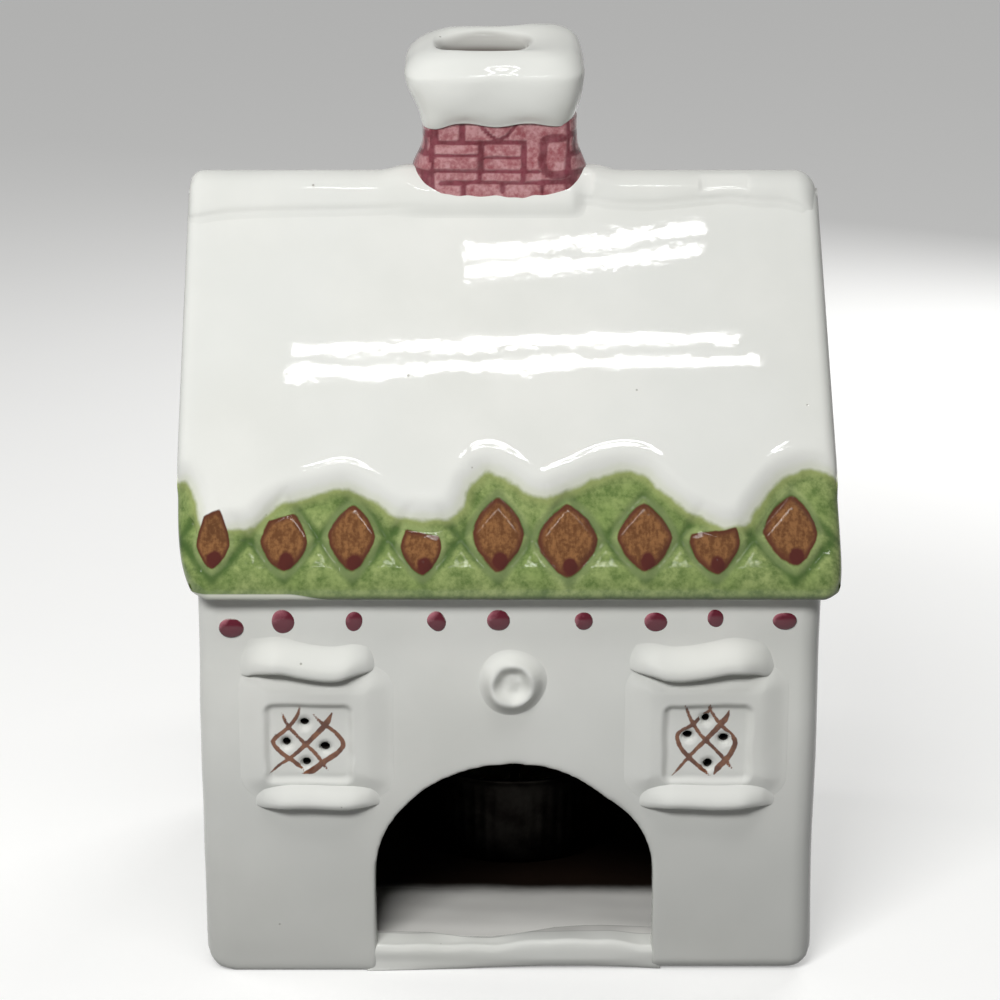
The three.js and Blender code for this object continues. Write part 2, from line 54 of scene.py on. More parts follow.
# The stage: a pale floor that runs out of sight, a soft lamp in front at the left with a weaker
# one overhead, two lamps that light the back and the left side, and thin tubes in front that
# the glaze mirrors as bright lines.
class Shade:
    """A value or a colour in a material. Arithmetic on a value adds its Math nodes."""

    def __init__(self, tree, socket=None):
        self.tree, self.socket = tree, socket

    def add(self, kind, settings=None, inputs=None, output=0):
        """Any other node: its settings first, then a number or a link for each socket."""
        node = self.tree.nodes.new(kind)
        for name, setting in (settings or {}).items():
            setattr(node, name, setting)
        for name, source in (inputs or {}).items():
            if isinstance(source, Shade):
                self.tree.links.new(source.socket, node.inputs[name])
            else:
                node.inputs[name].default_value = source
        return Shade(self.tree, node.outputs[output])

    def work_out(self, operation, *values):
        return self.add("ShaderNodeMath", {"operation": operation}, dict(enumerate(values)))

    def __add__(self, other):
        return self.work_out("ADD", self, other)

    def __sub__(self, other):
        return self.work_out("SUBTRACT", self, other)

    def __rsub__(self, other):
        return self.work_out("SUBTRACT", other, self)

    def __mul__(self, other):
        return self.work_out("MULTIPLY", self, other)

    def size(self):
        return self.work_out("ABSOLUTE", self)

    def rise(self, low, high):
        """0 below low and 1 above high, with an even turn between them."""
        return self.add(
            "ShaderNodeMapRange",
            {"interpolation_type": "SMOOTHSTEP"},
            {"Value": self, "From Min": low, "From Max": high},
        )

    def over(self, below, above):
        """The colour above where this mask is 1, and the colour below where it is 0."""
        return self.add("ShaderNodeMix", {"data_type": "RGBA"}, {0: self, 6: below, 7: above}, 2)


def start_finish(name, constants=None):
    """A new material: itself, and the object's own coordinates in it to build on."""
    material = bpy.data.materials.new(name)
    material.use_nodes = True
    shader = material.node_tree.nodes["Principled BSDF"]
    for socket, constant in (constants or {}).items():
        shader.inputs[socket].default_value = constant
    blank = Shade(material.node_tree)
    return material, blank.add("ShaderNodeTexCoord", output="Object")


def end_finish(material, height=None, **varying):
    """Links what varies over the surface to the shader. The height is in metres."""
    tree = material.node_tree
    shader = tree.nodes["Principled BSDF"]
    for socket, shade in varying.items():
        tree.links.new(shade.socket, shader.inputs[socket.replace("_", " ")])
    if height is not None:
        bump = height.add("ShaderNodeBump", inputs={"Height": height, "Distance": 1.0})
        tree.links.new(bump.socket, shader.inputs["Normal"])


def noise(place, size, detail=2.0, rough=0.5):
    """Cloudy noise between 0 and 1 whose clouds are about size mm across."""
    return place.add(
        "ShaderNodeTexNoise",
        inputs={"Vector": place, "Scale": 1000 / size, "Detail": detail, "Roughness": rough},
    )


def seen_directly(blank):
    """1 for what the camera sees, straight or in a mirroring glaze, and 0 for bounced light."""
    kinds = ("Camera", "Glossy", "Transmission")
    straight, mirrored, refracted = (
        blank.add("ShaderNodeLightPath", output=f"Is {kind} Ray") for kind in kinds
    )
    return blank.work_out("MAXIMUM", blank.work_out("MAXIMUM", straight, mirrored), refracted)


backdrop = (0.37, 0.37, 0.366, 1)
floor_finish, place = start_finish(
    "studio_floor", {"Roughness": 0.85, "Specular IOR Level": 0.1, "Emission Strength": 1.0}
)
mottle = noise(place, 60, 3).over((0.68, 0.68, 0.67, 1), (0.71, 0.71, 0.70, 1))
pale = seen_directly(place)
end_finish(
    floor_finish,
    Base_Color=pale.over((0.12, 0.12, 0.12, 1), mottle),
    Emission_Color=pale.over((0, 0, 0, 1), backdrop),
)
bm = bmesh.new()
bmesh.ops.create_grid(bm, x_segments=8, y_segments=8, size=6)
floor_mesh = bpy.data.meshes.new("studio_floor")
bm.to_mesh(floor_mesh)
bm.free()
floor_mesh.materials.append(floor_finish)
floor = bpy.data.objects.new("studio_floor", floor_mesh)
bpy.context.scene.collection.objects.link(floor)

world = bpy.data.worlds.new("studio")
world.use_nodes = True
background = world.node_tree.nodes["Background"]
background.inputs["Color"].default_value = (1.0, 1.0, 1.0, 1)
background.inputs["Strength"].default_value = 0.06
sky = Shade(world.node_tree)
shown = sky.add("ShaderNodeBackground", inputs={"Color": backdrop, "Strength": 1.0})
mixed = sky.add("ShaderNodeMixShader", inputs={0: seen_directly(sky), 2: shown})
world.node_tree.links.new(background.outputs[0], mixed.socket.node.inputs[1])
world.node_tree.links.new(mixed.socket, world.node_tree.nodes["World Output"].inputs["Surface"])
bpy.context.scene.world = world
bpy.context.scene.view_settings.view_transform = "Standard"


def add_lamp(name, place, aim, width, length, power, tilt=0.0, mirrored=True):
    data = bpy.data.lights.new(name, "AREA")
    data.shape = "RECTANGLE"
    data.size, data.size_y = width, length
    data.energy = power
    lamp = bpy.data.objects.new(name, data)
    lamp.location = place
    lamp.rotation_euler = (Vector(aim) - Vector(place)).to_track_quat("-Z", "Y").to_euler()
    lamp.rotation_euler.rotate_axis("Z", math.radians(tilt))
    lamp.visible_glossy = mirrored
    bpy.context.scene.collection.objects.link(lamp)


add_lamp("key_lamp", (-0.11, -0.34, 0.32), (0, 0, 0.06), 0.20, 0.09, 1.33, mirrored=False)
add_lamp("high_lamp", (0.02, -0.25, 0.72), (0, 0, 0.05), 0.40, 0.12, 0.9, mirrored=False)
add_lamp("back_lamp", (0.22, 0.40, 0.24), (0, 0, 0.06), 0.26, 0.16, 1.1, mirrored=False)
add_lamp("left_lamp", (-0.45, 0.12, 0.22), (0, 0, 0.06), 0.20, 0.16, 0.5, mirrored=False)
tube_aim = (0, -0.021, 0.093)
TUBE_WATTS = 70
# Each tube in metres: its two ends, how far it is moved square to the line of sight that the
# roof mirrors, and its width; then its tilt in degrees.
for name, left, right, lift, wide, tilt in (
    ("low_tube_near", -0.0790, 0.0935, 0.0021, 0.0040, 0.6),
    ("low_tube_far", -0.0760, 0.0850, -0.0063, 0.0036, 1.4),
    ("high_tube_near", -0.0140, 0.0715, -0.0353, 0.0040, 0),
    ("high_tube_far", -0.0140, 0.0715, -0.0427, 0.0036, 0),
    ("tube_holder", -0.0140, 0.0100, -0.0390, 0.0050, 0),
):
    tube_place = ((left + right) / 2, -0.293 - 0.887 * lift, 0.624 - 0.461 * lift)
    power = TUBE_WATTS * (right - left) * wide
    add_lamp(name, tube_place, tube_aim, right - left, wide, power, tilt)


# The floor of the room: a flat slab of white clay between the walls, glazed with them and
# painted a near-black brown towards the back: soot, and painted shade that ends along the
# doorway's shadow. It is laid in wet and smoothed by hand.
MM = 0.001
PITCH = math.radians(51.5)
ACROSS, UP = math.cos(PITCH), math.sin(PITCH)
EAVE_REACH, EAVE_HEIGHT = 42.0, 67.0


def soft_step(value, low, high):
    """0 below low and 1 above high, with an even turn between them, for arrays."""
    share = np.clip((np.asarray(value, float) - low) / (high - low), 0, 1)
    return share * share * (3 - 2 * share)


def wobble(points, wavelength, seed):
    """The unevenness of hand-pressed clay: about -1 to 1 over points in mm."""
    random = np.random.default_rng(seed)
    total = np.zeros(points.shape[:-1])
    for _ in range(7):
        way = random.normal(size=3)
        way *= 2 * math.pi * random.uniform(0.6, 1.3) / (wavelength * np.linalg.norm(way))
        total += np.sin(points @ way + random.uniform(0, 2 * math.pi))
    return total / 3


def add_mesh(name, mesh, finish, nodes, body="house"):
    """Shows a finished mesh as a piece that stands for some of the CAD's nodes."""
    mesh.materials.clear()
    mesh.materials.append(finish)
    piece = bpy.data.objects.new(name, mesh)
    bpy.context.scene.collection.objects.link(piece)
    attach(piece, body)
    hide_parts(*nodes)
    return piece


def add_piece(name, bm, finish, nodes, body="house"):
    mesh = bpy.data.meshes.new(name)
    bm.to_mesh(mesh)
    bm.free()
    return add_mesh(name, mesh, finish, nodes, body)


def smooth(bm):
    for face in bm.faces:
        face.smooth = True


def plate(across, up, height, back, lay):
    """A plate whose face is a grid: lay turns (across, up, height) into places in mm."""
    grid_across, grid_up = np.meshgrid(across, up)
    front = lay(grid_across, grid_up, height(grid_across, grid_up)).reshape(-1, 3) * MM
    foot = lay(grid_across, grid_up, np.full(grid_across.shape, float(back))).reshape(-1, 3) * MM
    bm = bmesh.new()
    bmesh.ops.create_grid(bm, x_segments=len(across) - 1, y_segments=len(up) - 1, size=1)
    number = bm.verts.layers.int.new("number")
    for i, (vert, spot) in enumerate(zip(bm.verts, front)):
        vert.co = spot
        vert[number] = i
    smooth(bm)
    rim = [edge for edge in bm.edges if edge.is_boundary]
    for item in bmesh.ops.extrude_edge_only(bm, edges=rim)["geom"]:
        if isinstance(item, bmesh.types.BMVert):
            item.co = foot[item[number]]
    bmesh.ops.holes_fill(bm, edges=[edge for edge in bm.edges if edge.is_boundary], sides=0)
    bmesh.ops.recalc_face_normals(bm, faces=bm.faces[:])
    return bm


def in_mm(place):
    """Across, depth and height of a place in mm."""
    split = "ShaderNodeSeparateXYZ"
    return [place.add(split, inputs={0: place}, output=axis) * 1000 for axis in range(3)]


def glaze_on_clay(place):
    """The white glaze: its colour, roughness and height, with soot and painted shade in the room and
    painted shade in the panes' holes.
    """
    x, y, z = in_mm(place)
    cloud = noise(place, 14, 4)
    cool = noise(place, 38, 2)
    colour = cloud.rise(0.3, 0.75).over((0.765, 0.772, 0.725, 1), (0.815, 0.818, 0.772, 1))
    colour = (cool.rise(0.35, 0.7) * 0.5).over(colour, (0.785, 0.797, 0.765, 1))
    cells = {"Vector": place, "Scale": 1000 / 5.2}
    specks = place.add("ShaderNodeTexVoronoi", inputs=cells, output="Distance")
    chance = place.add("ShaderNodeTexVoronoi", inputs=cells, output="Color")
    chance = chance.add("ShaderNodeSeparateColor", inputs={0: chance})
    pinhole = specks.rise(0.052, 0.03) * chance.rise(0.80, 0.82)
    colour = (pinhole * 0.55).over(colour, (0.20, 0.17, 0.13, 1))

    aside, depth = x.size(), y.size()
    above_tiles = (z - EAVE_HEIGHT) * ACROSS - (EAVE_REACH - depth) * UP
    # Painted shade with soot: the inside of the house is painted near black, but the floor just inside the
    # doorway is left white up to a wavy edge along the doorway's shadow.
    inside = aside.rise(44.3, 43.7) * depth.rise(34.3, 33.8) * above_tiles.rise(-3.8, -4.4)
    near_door = (y + (cloud - 0.5) * 3).rise(-13.5, -19) * z.rise(6.5, 4.6) * inside
    smoke = noise(place, 9, 4)
    soot_and_room_shade = smoke.over((0.007, 0.0045, 0.003, 1), (0.017, 0.010, 0.007, 1))
    lit = smoke.over((0.76, 0.75, 0.71, 1), (0.84, 0.83, 0.79, 1))
    colour = inside.over(colour, near_door.over(soot_and_room_shade, lit))
    # Painted shade: the sides of the panes' holes through the walls are painted near black.
    through_front = depth.rise(37.7, 37.4) * depth.rise(33.5, 34.0) * (aside - 31).size().rise(8, 7)
    through_side = aside.rise(47.4, 47.1) * aside.rise(43.4, 43.9) * depth.rise(22, 21)
    painted_hole_shade = (through_front + through_side) * z.rise(29, 30) * z.rise(50, 49)
    colour = painted_hole_shade.over(colour, (0.03, 0.024, 0.018, 1))
    dull = inside * (1 - near_door) * 0.45
    roughness = noise(place, 6, 3) * 0.02 + 0.012 + dull
    ripple = noise(place, 2.6, 2) * 0.0000035 + noise(place, 9, 1) * 0.000010 + pinhole * -0.00005
    return colour, roughness, ripple


white_glaze, place = start_finish("white_glaze", {"IOR": 1.5})
colour, roughness, ripple = glaze_on_clay(place)
end_finish(white_glaze, ripple, Base_Color=colour, Roughness=roughness)


def lay_level(across, up, height):
    return np.stack([across, up, height], axis=-1)


def floor_height(across, up):
    points = np.stack([across, up, 0 * across], axis=-1)
    return 4 + 0.12 * wobble(points, 22, 3) + 0.04 * wobble(points, 6, 4)


bm = plate(np.arange(-44.4, 44.5, 0.8), np.arange(-34.4, 34.5, 0.8), floor_height, 0.05, lay_level)
add_piece("glazed_floor", bm, white_glaze, ["floor_slab"])


# The walls: four slabs of white clay, 5 mm thick, luted at the corners and fired as one, with
# the doorway and the window holes cut while soft. All their edges are rounded by the glaze.
def fused(bm, voxel, rounds):
    """The body of bm as one closed skin of small even faces, with its edges softened."""
    mesh = bpy.data.meshes.new("clay")
    bm.to_mesh(mesh)
    bm.free()
    body = bpy.data.objects.new("clay", mesh)
    bpy.context.scene.collection.objects.link(body)
    skin = body.modifiers.new("skin", "REMESH")
    skin.mode = "VOXEL"
    skin.voxel_size = voxel * MM
    soften = body.modifiers.new("soften", "SMOOTH")
    soften.factor = 0.5
    soften.iterations = rounds
    graph = bpy.context.evaluated_depsgraph_get()
    result = bpy.data.meshes.new_from_object(body.evaluated_get(graph))
    result.shade_smooth()
    bpy.data.objects.remove(body)
    return result


def places_of(mesh):
    flat = np.empty(len(mesh.vertices) * 3)
    mesh.vertices.foreach_get("co", flat)
    return flat.reshape(-1, 3) * 1000


def normals_of(mesh):
    flat = np.empty(len(mesh.vertices) * 3)
    mesh.vertex_normals.foreach_get("vector", flat)
    return flat.reshape(-1, 3)


def cut_away(bm, place, outwards):
    """Cuts a closed body with a plane, drops what lies outwards of it and closes the cut."""
    parts = bm.verts[:] + bm.edges[:] + bm.faces[:]
    bmesh.ops.bisect_plane(bm, geom=parts, plane_co=place, plane_no=outwards, clear_outer=True)
    bmesh.ops.holes_fill(bm, edges=[edge for edge in bm.edges if edge.is_boundary], sides=0)


wall_glaze, place = start_finish("wall_glaze", {"IOR": 1.5})
colour, roughness, ripple = glaze_on_clay(place)
# Painted shade: the walls are painted greyer towards their foot.
low = in_mm(place)[2].rise(56, 2)
colour = (low * 0.30).over(colour, (0.30, 0.30, 0.28, 1))
end_finish(wall_glaze, ripple * 2.2, Base_Color=colour, Roughness=roughness + 0.02)

# The gables are made a little deeper, so that the four walls run into one another and fuse.
bm = bmesh.new()
for node in ("front_wall", "back_wall", "right_gable_wall", "left_gable_wall"):
    known = len(bm.verts)
    bm.from_mesh(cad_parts[node].data)
    bm.verts.ensure_lookup_table()
    if "gable" in node:
        bmesh.ops.scale(bm, vec=(1, 1.035, 1), verts=bm.verts[known:])
bmesh.ops.remove_doubles(bm, verts=bm.verts[:], dist=1e-6)
# The walls' tops are raised into the roof.
for vert in bm.verts:
    y, z = abs(vert.co.y) * 1000, vert.co.z * 1000
    if (z - EAVE_HEIGHT) * ACROSS - (EAVE_REACH - y) * UP > -5.8:
        vert.co.z += 1.6 * MM


def wall_swell(points):
    """How far the hand-made walls stand proud of true."""
    uneven = 0.15 * wobble(points, 28, 11) + 0.03 * wobble(points, 10, 12)
    return uneven * soft_step(points[..., 2], 0.5, 6)


shell = fused(bm, 0.52, 10)
points, outward = places_of(shell), normals_of(shell)
points += outward * wall_swell(points)[:, None]
# The doorway's arch sags a little at its right.
high = points[:, 2]
arch = np.exp(-(((points[:, 0] - 15.5) / 5) ** 2)) * soft_step(high, 20, 25) * soft_step(high, 46, 36)
points[:, 2] -= 0.9 * arch * (points[:, 1] < -25)
points[:, 2] = np.maximum(points[:, 2], 0)
foot_round = 2.2
below_round = np.clip(foot_round - points[:, 2], 0, foot_round)
foot_inset = foot_round - np.sqrt(foot_round**2 - below_round**2)
foot_inset = np.minimum(foot_inset, 1.4) * (0.15 + 0.85 * soft_step(points[:, 0], -20, 20))
for axis, near, far in ((0, 45.5, 48.0), (1, 35.5, 38.0)):
    outer = soft_step(np.abs(points[:, axis]), near, far)
    points[:, axis] *= 1 - outer * foot_inset / far
shell.vertices.foreach_set("co", (points * MM).ravel())
corner = 33.35 * MM
for name, node, cuts in (
    ("glazed_front_wall", "front_wall", [((0, -corner, 0), (0, 1, 0))]),
    ("glazed_back_wall", "back_wall", [((0, corner, 0), (0, -1, 0))]),
    ("glazed_right_gable", "right_gable_wall", [((0, 0, 0), (-1, 0, 0))]),
    ("glazed_left_gable", "left_gable_wall", [((0, 0, 0), (1, 0, 0))]),
):
    if "gable" in node:
        cuts = cuts + [((0, -corner, 0), (0, -1, 0)), ((0, corner, 0), (0, 1, 0))]
    bm = bmesh.new()
    bm.from_mesh(shell)
    for cut_place, outwards in cuts:
        cut_away(bm, cut_place, outwards)
    add_piece(name, bm, wall_glaze, [node])


# The doorstep: the foot of the front wall carried on across the doorway, with a low bank of
# snow pressed down on it. Its ends run into the wall on both sides.
def skin_over(loops, ring=False):
    """A closed body over loops of points in mm. Its ends are filled, or joined in a ring."""
    loops = np.concatenate([loops, loops[:, :1]], axis=1)
    if ring:
        loops = np.concatenate([loops, loops[:1]])
    rows, columns = loops.shape[:2]
    bm = bmesh.new()
    bmesh.ops.create_grid(bm, x_segments=columns - 1, y_segments=rows - 1, size=1)
    for vert, spot in zip(bm.verts, loops.reshape(-1, 3) * MM):
        vert.co = spot
    bmesh.ops.remove_doubles(bm, verts=bm.verts[:], dist=1e-7)
    smooth(bm)
    if not ring:
        bmesh.ops.holes_fill(bm, edges=[edge for edge in bm.edges if edge.is_boundary], sides=0)
    bmesh.ops.recalc_face_normals(bm, faces=bm.faces[:])
    return bm


def smooth_line(controls, steps):
    """A smooth line through control points, with the given number of steps between two."""
    controls = np.asarray(controls, float)
    lead_in, lead_out = 2 * controls[:1] - controls[1:2], 2 * controls[-1:] - controls[-2:-1]
    padded = np.concatenate([lead_in, controls, lead_out])
    line = []
    for i in range(1, len(padded) - 2):
        before, start, end, after = padded[i - 1 : i + 3]
        for share in np.arange(steps) / steps:
            line.append(
                0.5
                * (
                    2 * start
                    + (end - before) * share
                    + (2 * before - 5 * start + 4 * end - after) * share**2
                    + (3 * start - before - 3 * end + after) * share**3
                )
            )
    return np.array(line + [controls[-1]])


step_edge = [
    (-22, -33.0), (-19.7, -33.3), (-12.5, -33.7), (-7.5, -35.2), (-2.5, -35.3), (2.3, -33.8),
    (7.4, -31.8), (12.3, -31.0), (18.3, -31.2), (22.9, -31.6), (24, -31.8),
]
FRONT = 38.5
step_base = [
    (-22, -38.4), (-16, -38.1), (-8, -37.6), (-1, -36.9), (6, -36.2), (13, -36.1), (19, -36.8), (24, -37.5),
]
step_loops = []
for x in np.arange(-22.7, 24.5, 0.32):
    back = np.interp(x, *np.transpose(step_edge))
    base = np.interp(x, *np.transpose(step_base))
    within = float(soft_step(x, -22.7, -21.7) * soft_step(x, 24.5, 23.5))
    face = -FRONT + 0.12 - float(wall_swell(np.array([x, -FRONT, 3.0]))) + 0.5 * (1 - within)
    crest = 4.35 + 0.85 * float(soft_step(x, -3, 6) * soft_step(x, 22, 15)) + 0.08 * math.sin(x * 0.8)
    top = 4.8 + 0.1 * math.sin(x * 0.5)
    profile = smooth_line(
        [
            (base + 1.2, 0.3), (base, 0.03), (0.35 * base + 0.65 * face, 0.55), (face + 0.1, 1.7),
            (face, 2.9), (face + 0.12, crest - 0.75), (face + 0.62, crest - 0.12), (face + 1.4, crest),
            (0.5 * (face + 1.4 + back), 0.5 * (crest + top)), (back - 0.4, top - 0.15),
            (back + 0.4, 4.35), (back + 1.6, 3.7), (back + 1.7, 2.5), (-34.5, 1.5),
        ],
        4,
    )
    step_loops.append(np.column_stack([np.full(len(profile), x), profile]))
bm = skin_over(np.array(step_loops))
add_piece("glazed_doorstep_snow", bm, white_glaze, ["doorstep_snow"])


# The wreath: a soft ring of clay pressed on the wall over the door. The glaze has run into it
# and left its middle nearly full.
def lay_on_front(across, up, height):
    return np.stack([across, -FRONT - height, up], axis=-1)


def wreath_height(across, up):
    radius = np.hypot((across - 0.5) * 1.02, up - 49.4)
    turn = np.arctan2(up - 49.4, across - 0.5)
    ring = 1.95 * np.exp(-(((radius - 3.25) / (1.25 + 0.12 * np.sin(3 * turn + 1))) ** 2))
    ring *= 1 + 0.08 * np.sin(2 * turn) + 0.05 * np.sin(5 * turn)
    middle = 0.5 * np.exp(-((radius / 1.5) ** 2))
    wall = wall_swell(lay_on_front(across, up, 0 * across))
    return ring + middle + wall - 0.22 * soft_step(radius, 4.6, 6.4)


bm = plate(np.arange(-6.1, 7.2, 0.22), np.arange(42.8, 56.1, 0.22), wreath_height, -0.6, lay_on_front)
add_piece("glazed_wreath", bm, wall_glaze, ["wreath"])


# The rafter ends: dabs of clay set in a row under each eave and touched with crimson. A painted
# highlight makes each pink at its upper left, and painted shade deep crimson at its lower right.
def mark(piece, name, values):
    """Keeps one number for each point of a piece, for its material to read."""
    attribute = piece.data.attributes.new(name, "FLOAT", "POINT")
    attribute.data.foreach_set("value", np.ascontiguousarray(values, dtype=np.float32))


def marks_on(place, *names):
    """The numbers kept for the points of a piece, as values for its material."""
    return [place.add("ShaderNodeAttribute", {"attribute_name": name}, output="Fac") for name in names]


bead_glaze, place = start_finish("crimson_on_beads", {"IOR": 1.5})
colour, roughness, ripple = glaze_on_clay(place)
crimson_and_painted_light, edge = marks_on(place, "crimson_and_painted_light", "edge")
streak = noise(place, 1.1, 3)
# A painted highlight at each bead's upper left, and painted shade at its lower right.
crimson = (crimson_and_painted_light + streak * 0.5).rise(-0.45, 0.05).over((0.47, 0.16, 0.20, 1), (0.135, 0.006, 0.022, 1))
painted = (edge + streak * 0.3).rise(0.04, 0.24)
end_finish(bead_glaze, ripple, Base_Color=painted.over(colour, crimson), Roughness=roughness)

# Each bead: across, up, half its width and half its height.
bead_rows = [
    (-43.0, 58.4, 1.95, 1.6), (-34.9, 59.3, 1.9, 1.9), (-23.9, 59.4, 1.6, 1.85), (-11.2, 59.4, 1.45, 1.5),
    (-1.7, 59.6, 1.75, 1.65), (11.5, 59.5, 1.45, 1.5), (22.7, 59.5, 1.9, 1.6), (31.8, 60.0, 1.4, 1.45),
    (42.5, 59.5, 1.95, 1.5),
]
for i, (across, up, half_width, half_height) in enumerate(bead_rows, 1):
    for side, turn in (("front", 0), ("back", math.pi)):
        bm = bmesh.new()
        bmesh.ops.create_uvsphere(bm, u_segments=28, v_segments=18, radius=1)
        bmesh.ops.rotate(bm, verts=bm.verts[:], matrix=Matrix.Rotation(math.pi / 2, 3, "X"))
        ball = np.array([vert.co[:] for vert in bm.verts])
        lumps = 1 + 0.10 * wobble(ball * 1.6, 4, 40 + i)
        rim = np.hypot(ball[:, 0], ball[:, 2])
        outward = np.where(ball[:, 1] < 0, -0.55 * ball[:, 1], -0.5 * ball[:, 1])
        shape = np.column_stack([
            across + ball[:, 0] * half_width * lumps,
            -FRONT - outward + 0.08,
            up + ball[:, 2] * half_height * lumps,
        ])
        for vert, spot in zip(bm.verts, shape * MM):
            vert.co = spot
        bmesh.ops.rotate(bm, verts=bm.verts[:], matrix=Matrix.Rotation(turn, 3, "Z"))
        bmesh.ops.recalc_face_normals(bm, faces=bm.faces[:])
        smooth(bm)
        name = f"{side}_rafter_bead_{i}"
        bead = add_piece(f"painted_{name}", bm, bead_glaze, [name])
        mark(bead, "crimson_and_painted_light", ball[:, 0] * 0.5 - ball[:, 2] * 0.35 + 0.15 * wobble(ball, 2.5, 60 + i))
        mark(bead, "edge", 1.02 - np.where(ball[:, 1] < 0.05, rim, 1))


# The windows: a surround pressed from a mould, with a sunk pane that is pierced four times
# and crossed by four brown brush strokes, and snow modelled on its lintel and its sill.
SURROUND = {"foot": 4.0, "height": 18.0, "depth": 1.0}
PANE = {"width": 12.9, "foot": 5.2, "height": 12.2, "recess": 0.9}
HOLE_RADIUS = 0.95
SIDE = 48.5
# Half the width of each of the four strokes, near its first and its last end.
STROKE_HALVES = ((0.32, 0.34), (0.36, 0.40), (0.54, 0.26), (0.30, 0.56))
LEFT_HOLES = [(-0.65, 14.5), (-3.5, 11.2), (2.55, 10.4), (-0.45, 7.8)]
RIGHT_HOLES = [(-0.3, 15.2), (-3.05, 12.4), (2.6, 11.9), (0.15, 7.6)]
# Each stroke is a line of places across from the pane's middle and up from the window's foot.
left_strokes = [
    [(-4.1, 15.9), (-3.2, 13.8), (-1.7, 12.0), (-0.5, 10.7), (1.2, 8.9), (2.9, 6.4)],
    [
        (-1.3, 17.0), (-1.8, 15.3), (-3.5, 13.2), (-5.3, 11.7), (-5.5, 10.7), (-4.1, 9.1), (-2.7, 8.1),
        (-0.8, 6.3),
    ],
    [(3.7, 15.9), (2.7, 14.0), (-0.2, 10.9), (-2.7, 8.6), (-4.6, 7.3), (-6.2, 5.8)],
    [(0.7, 15.8), (2.0, 14.3), (4.1, 12.7), (5.4, 10.7), (4.3, 9.1), (2.1, 7.6), (0.6, 6.3), (-1.1, 5.8)],
]
right_strokes = [
    [(-3.6, 17.5), (-2.7, 15.0), (-1.0, 12.2), (1.7, 9.4), (4.1, 6.4)],
    [
        (0.1, 17.9), (0.4, 16.6), (-1.3, 15.0), (-2.5, 13.9), (-4.4, 12.7), (-4.7, 11.7), (-4.1, 10.1),
        (-2.6, 8.3), (0.6, 5.3),
    ],
    [(3.3, 16.4), (2.8, 15.0), (0.7, 12.5), (-2.4, 9.1), (-5.4, 5.4)],
    [(0.0, 17.1), (1.6, 14.5), (4.0, 11.9), (4.3, 10.4), (3.2, 8.3), (1.8, 6.8), (1.1, 5.5)],
]
# Each window: its wall's turn in degrees, its middle, foot and width, how far its pane is off
# the middle, and its strokes and holes.
windows = [
    ("front_left", 0, -30.1, 28.1, 19.8, -1.2, left_strokes, LEFT_HOLES),
    ("front_right", 0, 30.8, 28.1, 21.2, 0.2, right_strokes, RIGHT_HOLES),
    ("back_left", 180, -30.5, 28.1, 20.5, 0.0, right_strokes, RIGHT_HOLES),
    ("back_right", 180, 30.5, 28.1, 20.5, 0.0, left_strokes, LEFT_HOLES),
    ("right_side", 90, -8.0, 26.0, 23.0, 0.0, left_strokes, LEFT_HOLES),
    ("left_side", -90, 8.0, 26.0, 23.0, 0.0, right_strokes, RIGHT_HOLES),
]


def beyond_box(across, up, left, low, width, height, radius):
    """How far outside a rounded rectangle each place is; less than 0 inside it."""
    over_x = np.abs(across - left - width / 2) - width / 2 + radius
    over_y = np.abs(up - low - height / 2) - height / 2 + radius
    outside = np.hypot(np.maximum(over_x, 0), np.maximum(over_y, 0))
    return outside + np.minimum(np.maximum(over_x, over_y), 0) - radius


def along_line(points, line):
    """The distance of each place from a line, and how far along the line it is nearest."""
    line = np.asarray(line, float)
    starts, steps = line[:-1], np.diff(line, axis=0)
    lengths = np.hypot(*steps.T)
    passed = np.concatenate([[0], np.cumsum(lengths)[:-1]])
    nearest, where = np.full(len(points), 1e9), np.zeros(len(points))
    for start, step, length, before in zip(starts, steps, lengths, passed):
        share = np.clip(((points - start) @ step) / length**2, 0, 1)
        distance = np.hypot(*(points - start - share[:, None] * step).T)
        closer = distance < nearest
        nearest[closer] = distance[closer]
        where[closer] = (before + share * length)[closer]
    return nearest, where / lengths.sum()


def turned(bm, degrees):
    bmesh.ops.rotate(bm, verts=bm.verts[:], matrix=Matrix.Rotation(math.radians(degrees), 3, "Z"))
    return bm


def pierced(bm, cutters):
    """The body less its cutters, as a mesh."""
    objects = []
    for part in (bm, cutters):
        mesh = bpy.data.meshes.new("clay")
        part.to_mesh(mesh)
        part.free()
        objects.append(bpy.data.objects.new("clay", mesh))
        bpy.context.scene.collection.objects.link(objects[-1])
    drill = objects[0].modifiers.new("drill", "BOOLEAN")
    drill.operation = "DIFFERENCE"
    drill.solver = "EXACT"
    drill.object = objects[1]
    graph = bpy.context.evaluated_depsgraph_get()
    result = bpy.data.meshes.new_from_object(objects[0].evaluated_get(graph))
    for each in objects:
        bpy.data.objects.remove(each)
    return result


def snow_roll(stations, foot, height, depth, reach, profile):
    """A bank of snow on a ledge: foot, height and depth are worked out for each station."""
    loops = []
    for x in stations:
        low, tall, deep = foot(x), height(x), depth(x)
        line = smooth_line([(deep * out, low + tall * rise) for out, rise in profile], 4)
        line[:, 0] -= max(0.45 - 0.5 * deep, 0)
        loops.append(np.column_stack([np.full(len(line), x), -reach - line[:, 0], line[:, 1]]))
    return skin_over(np.array(loops))


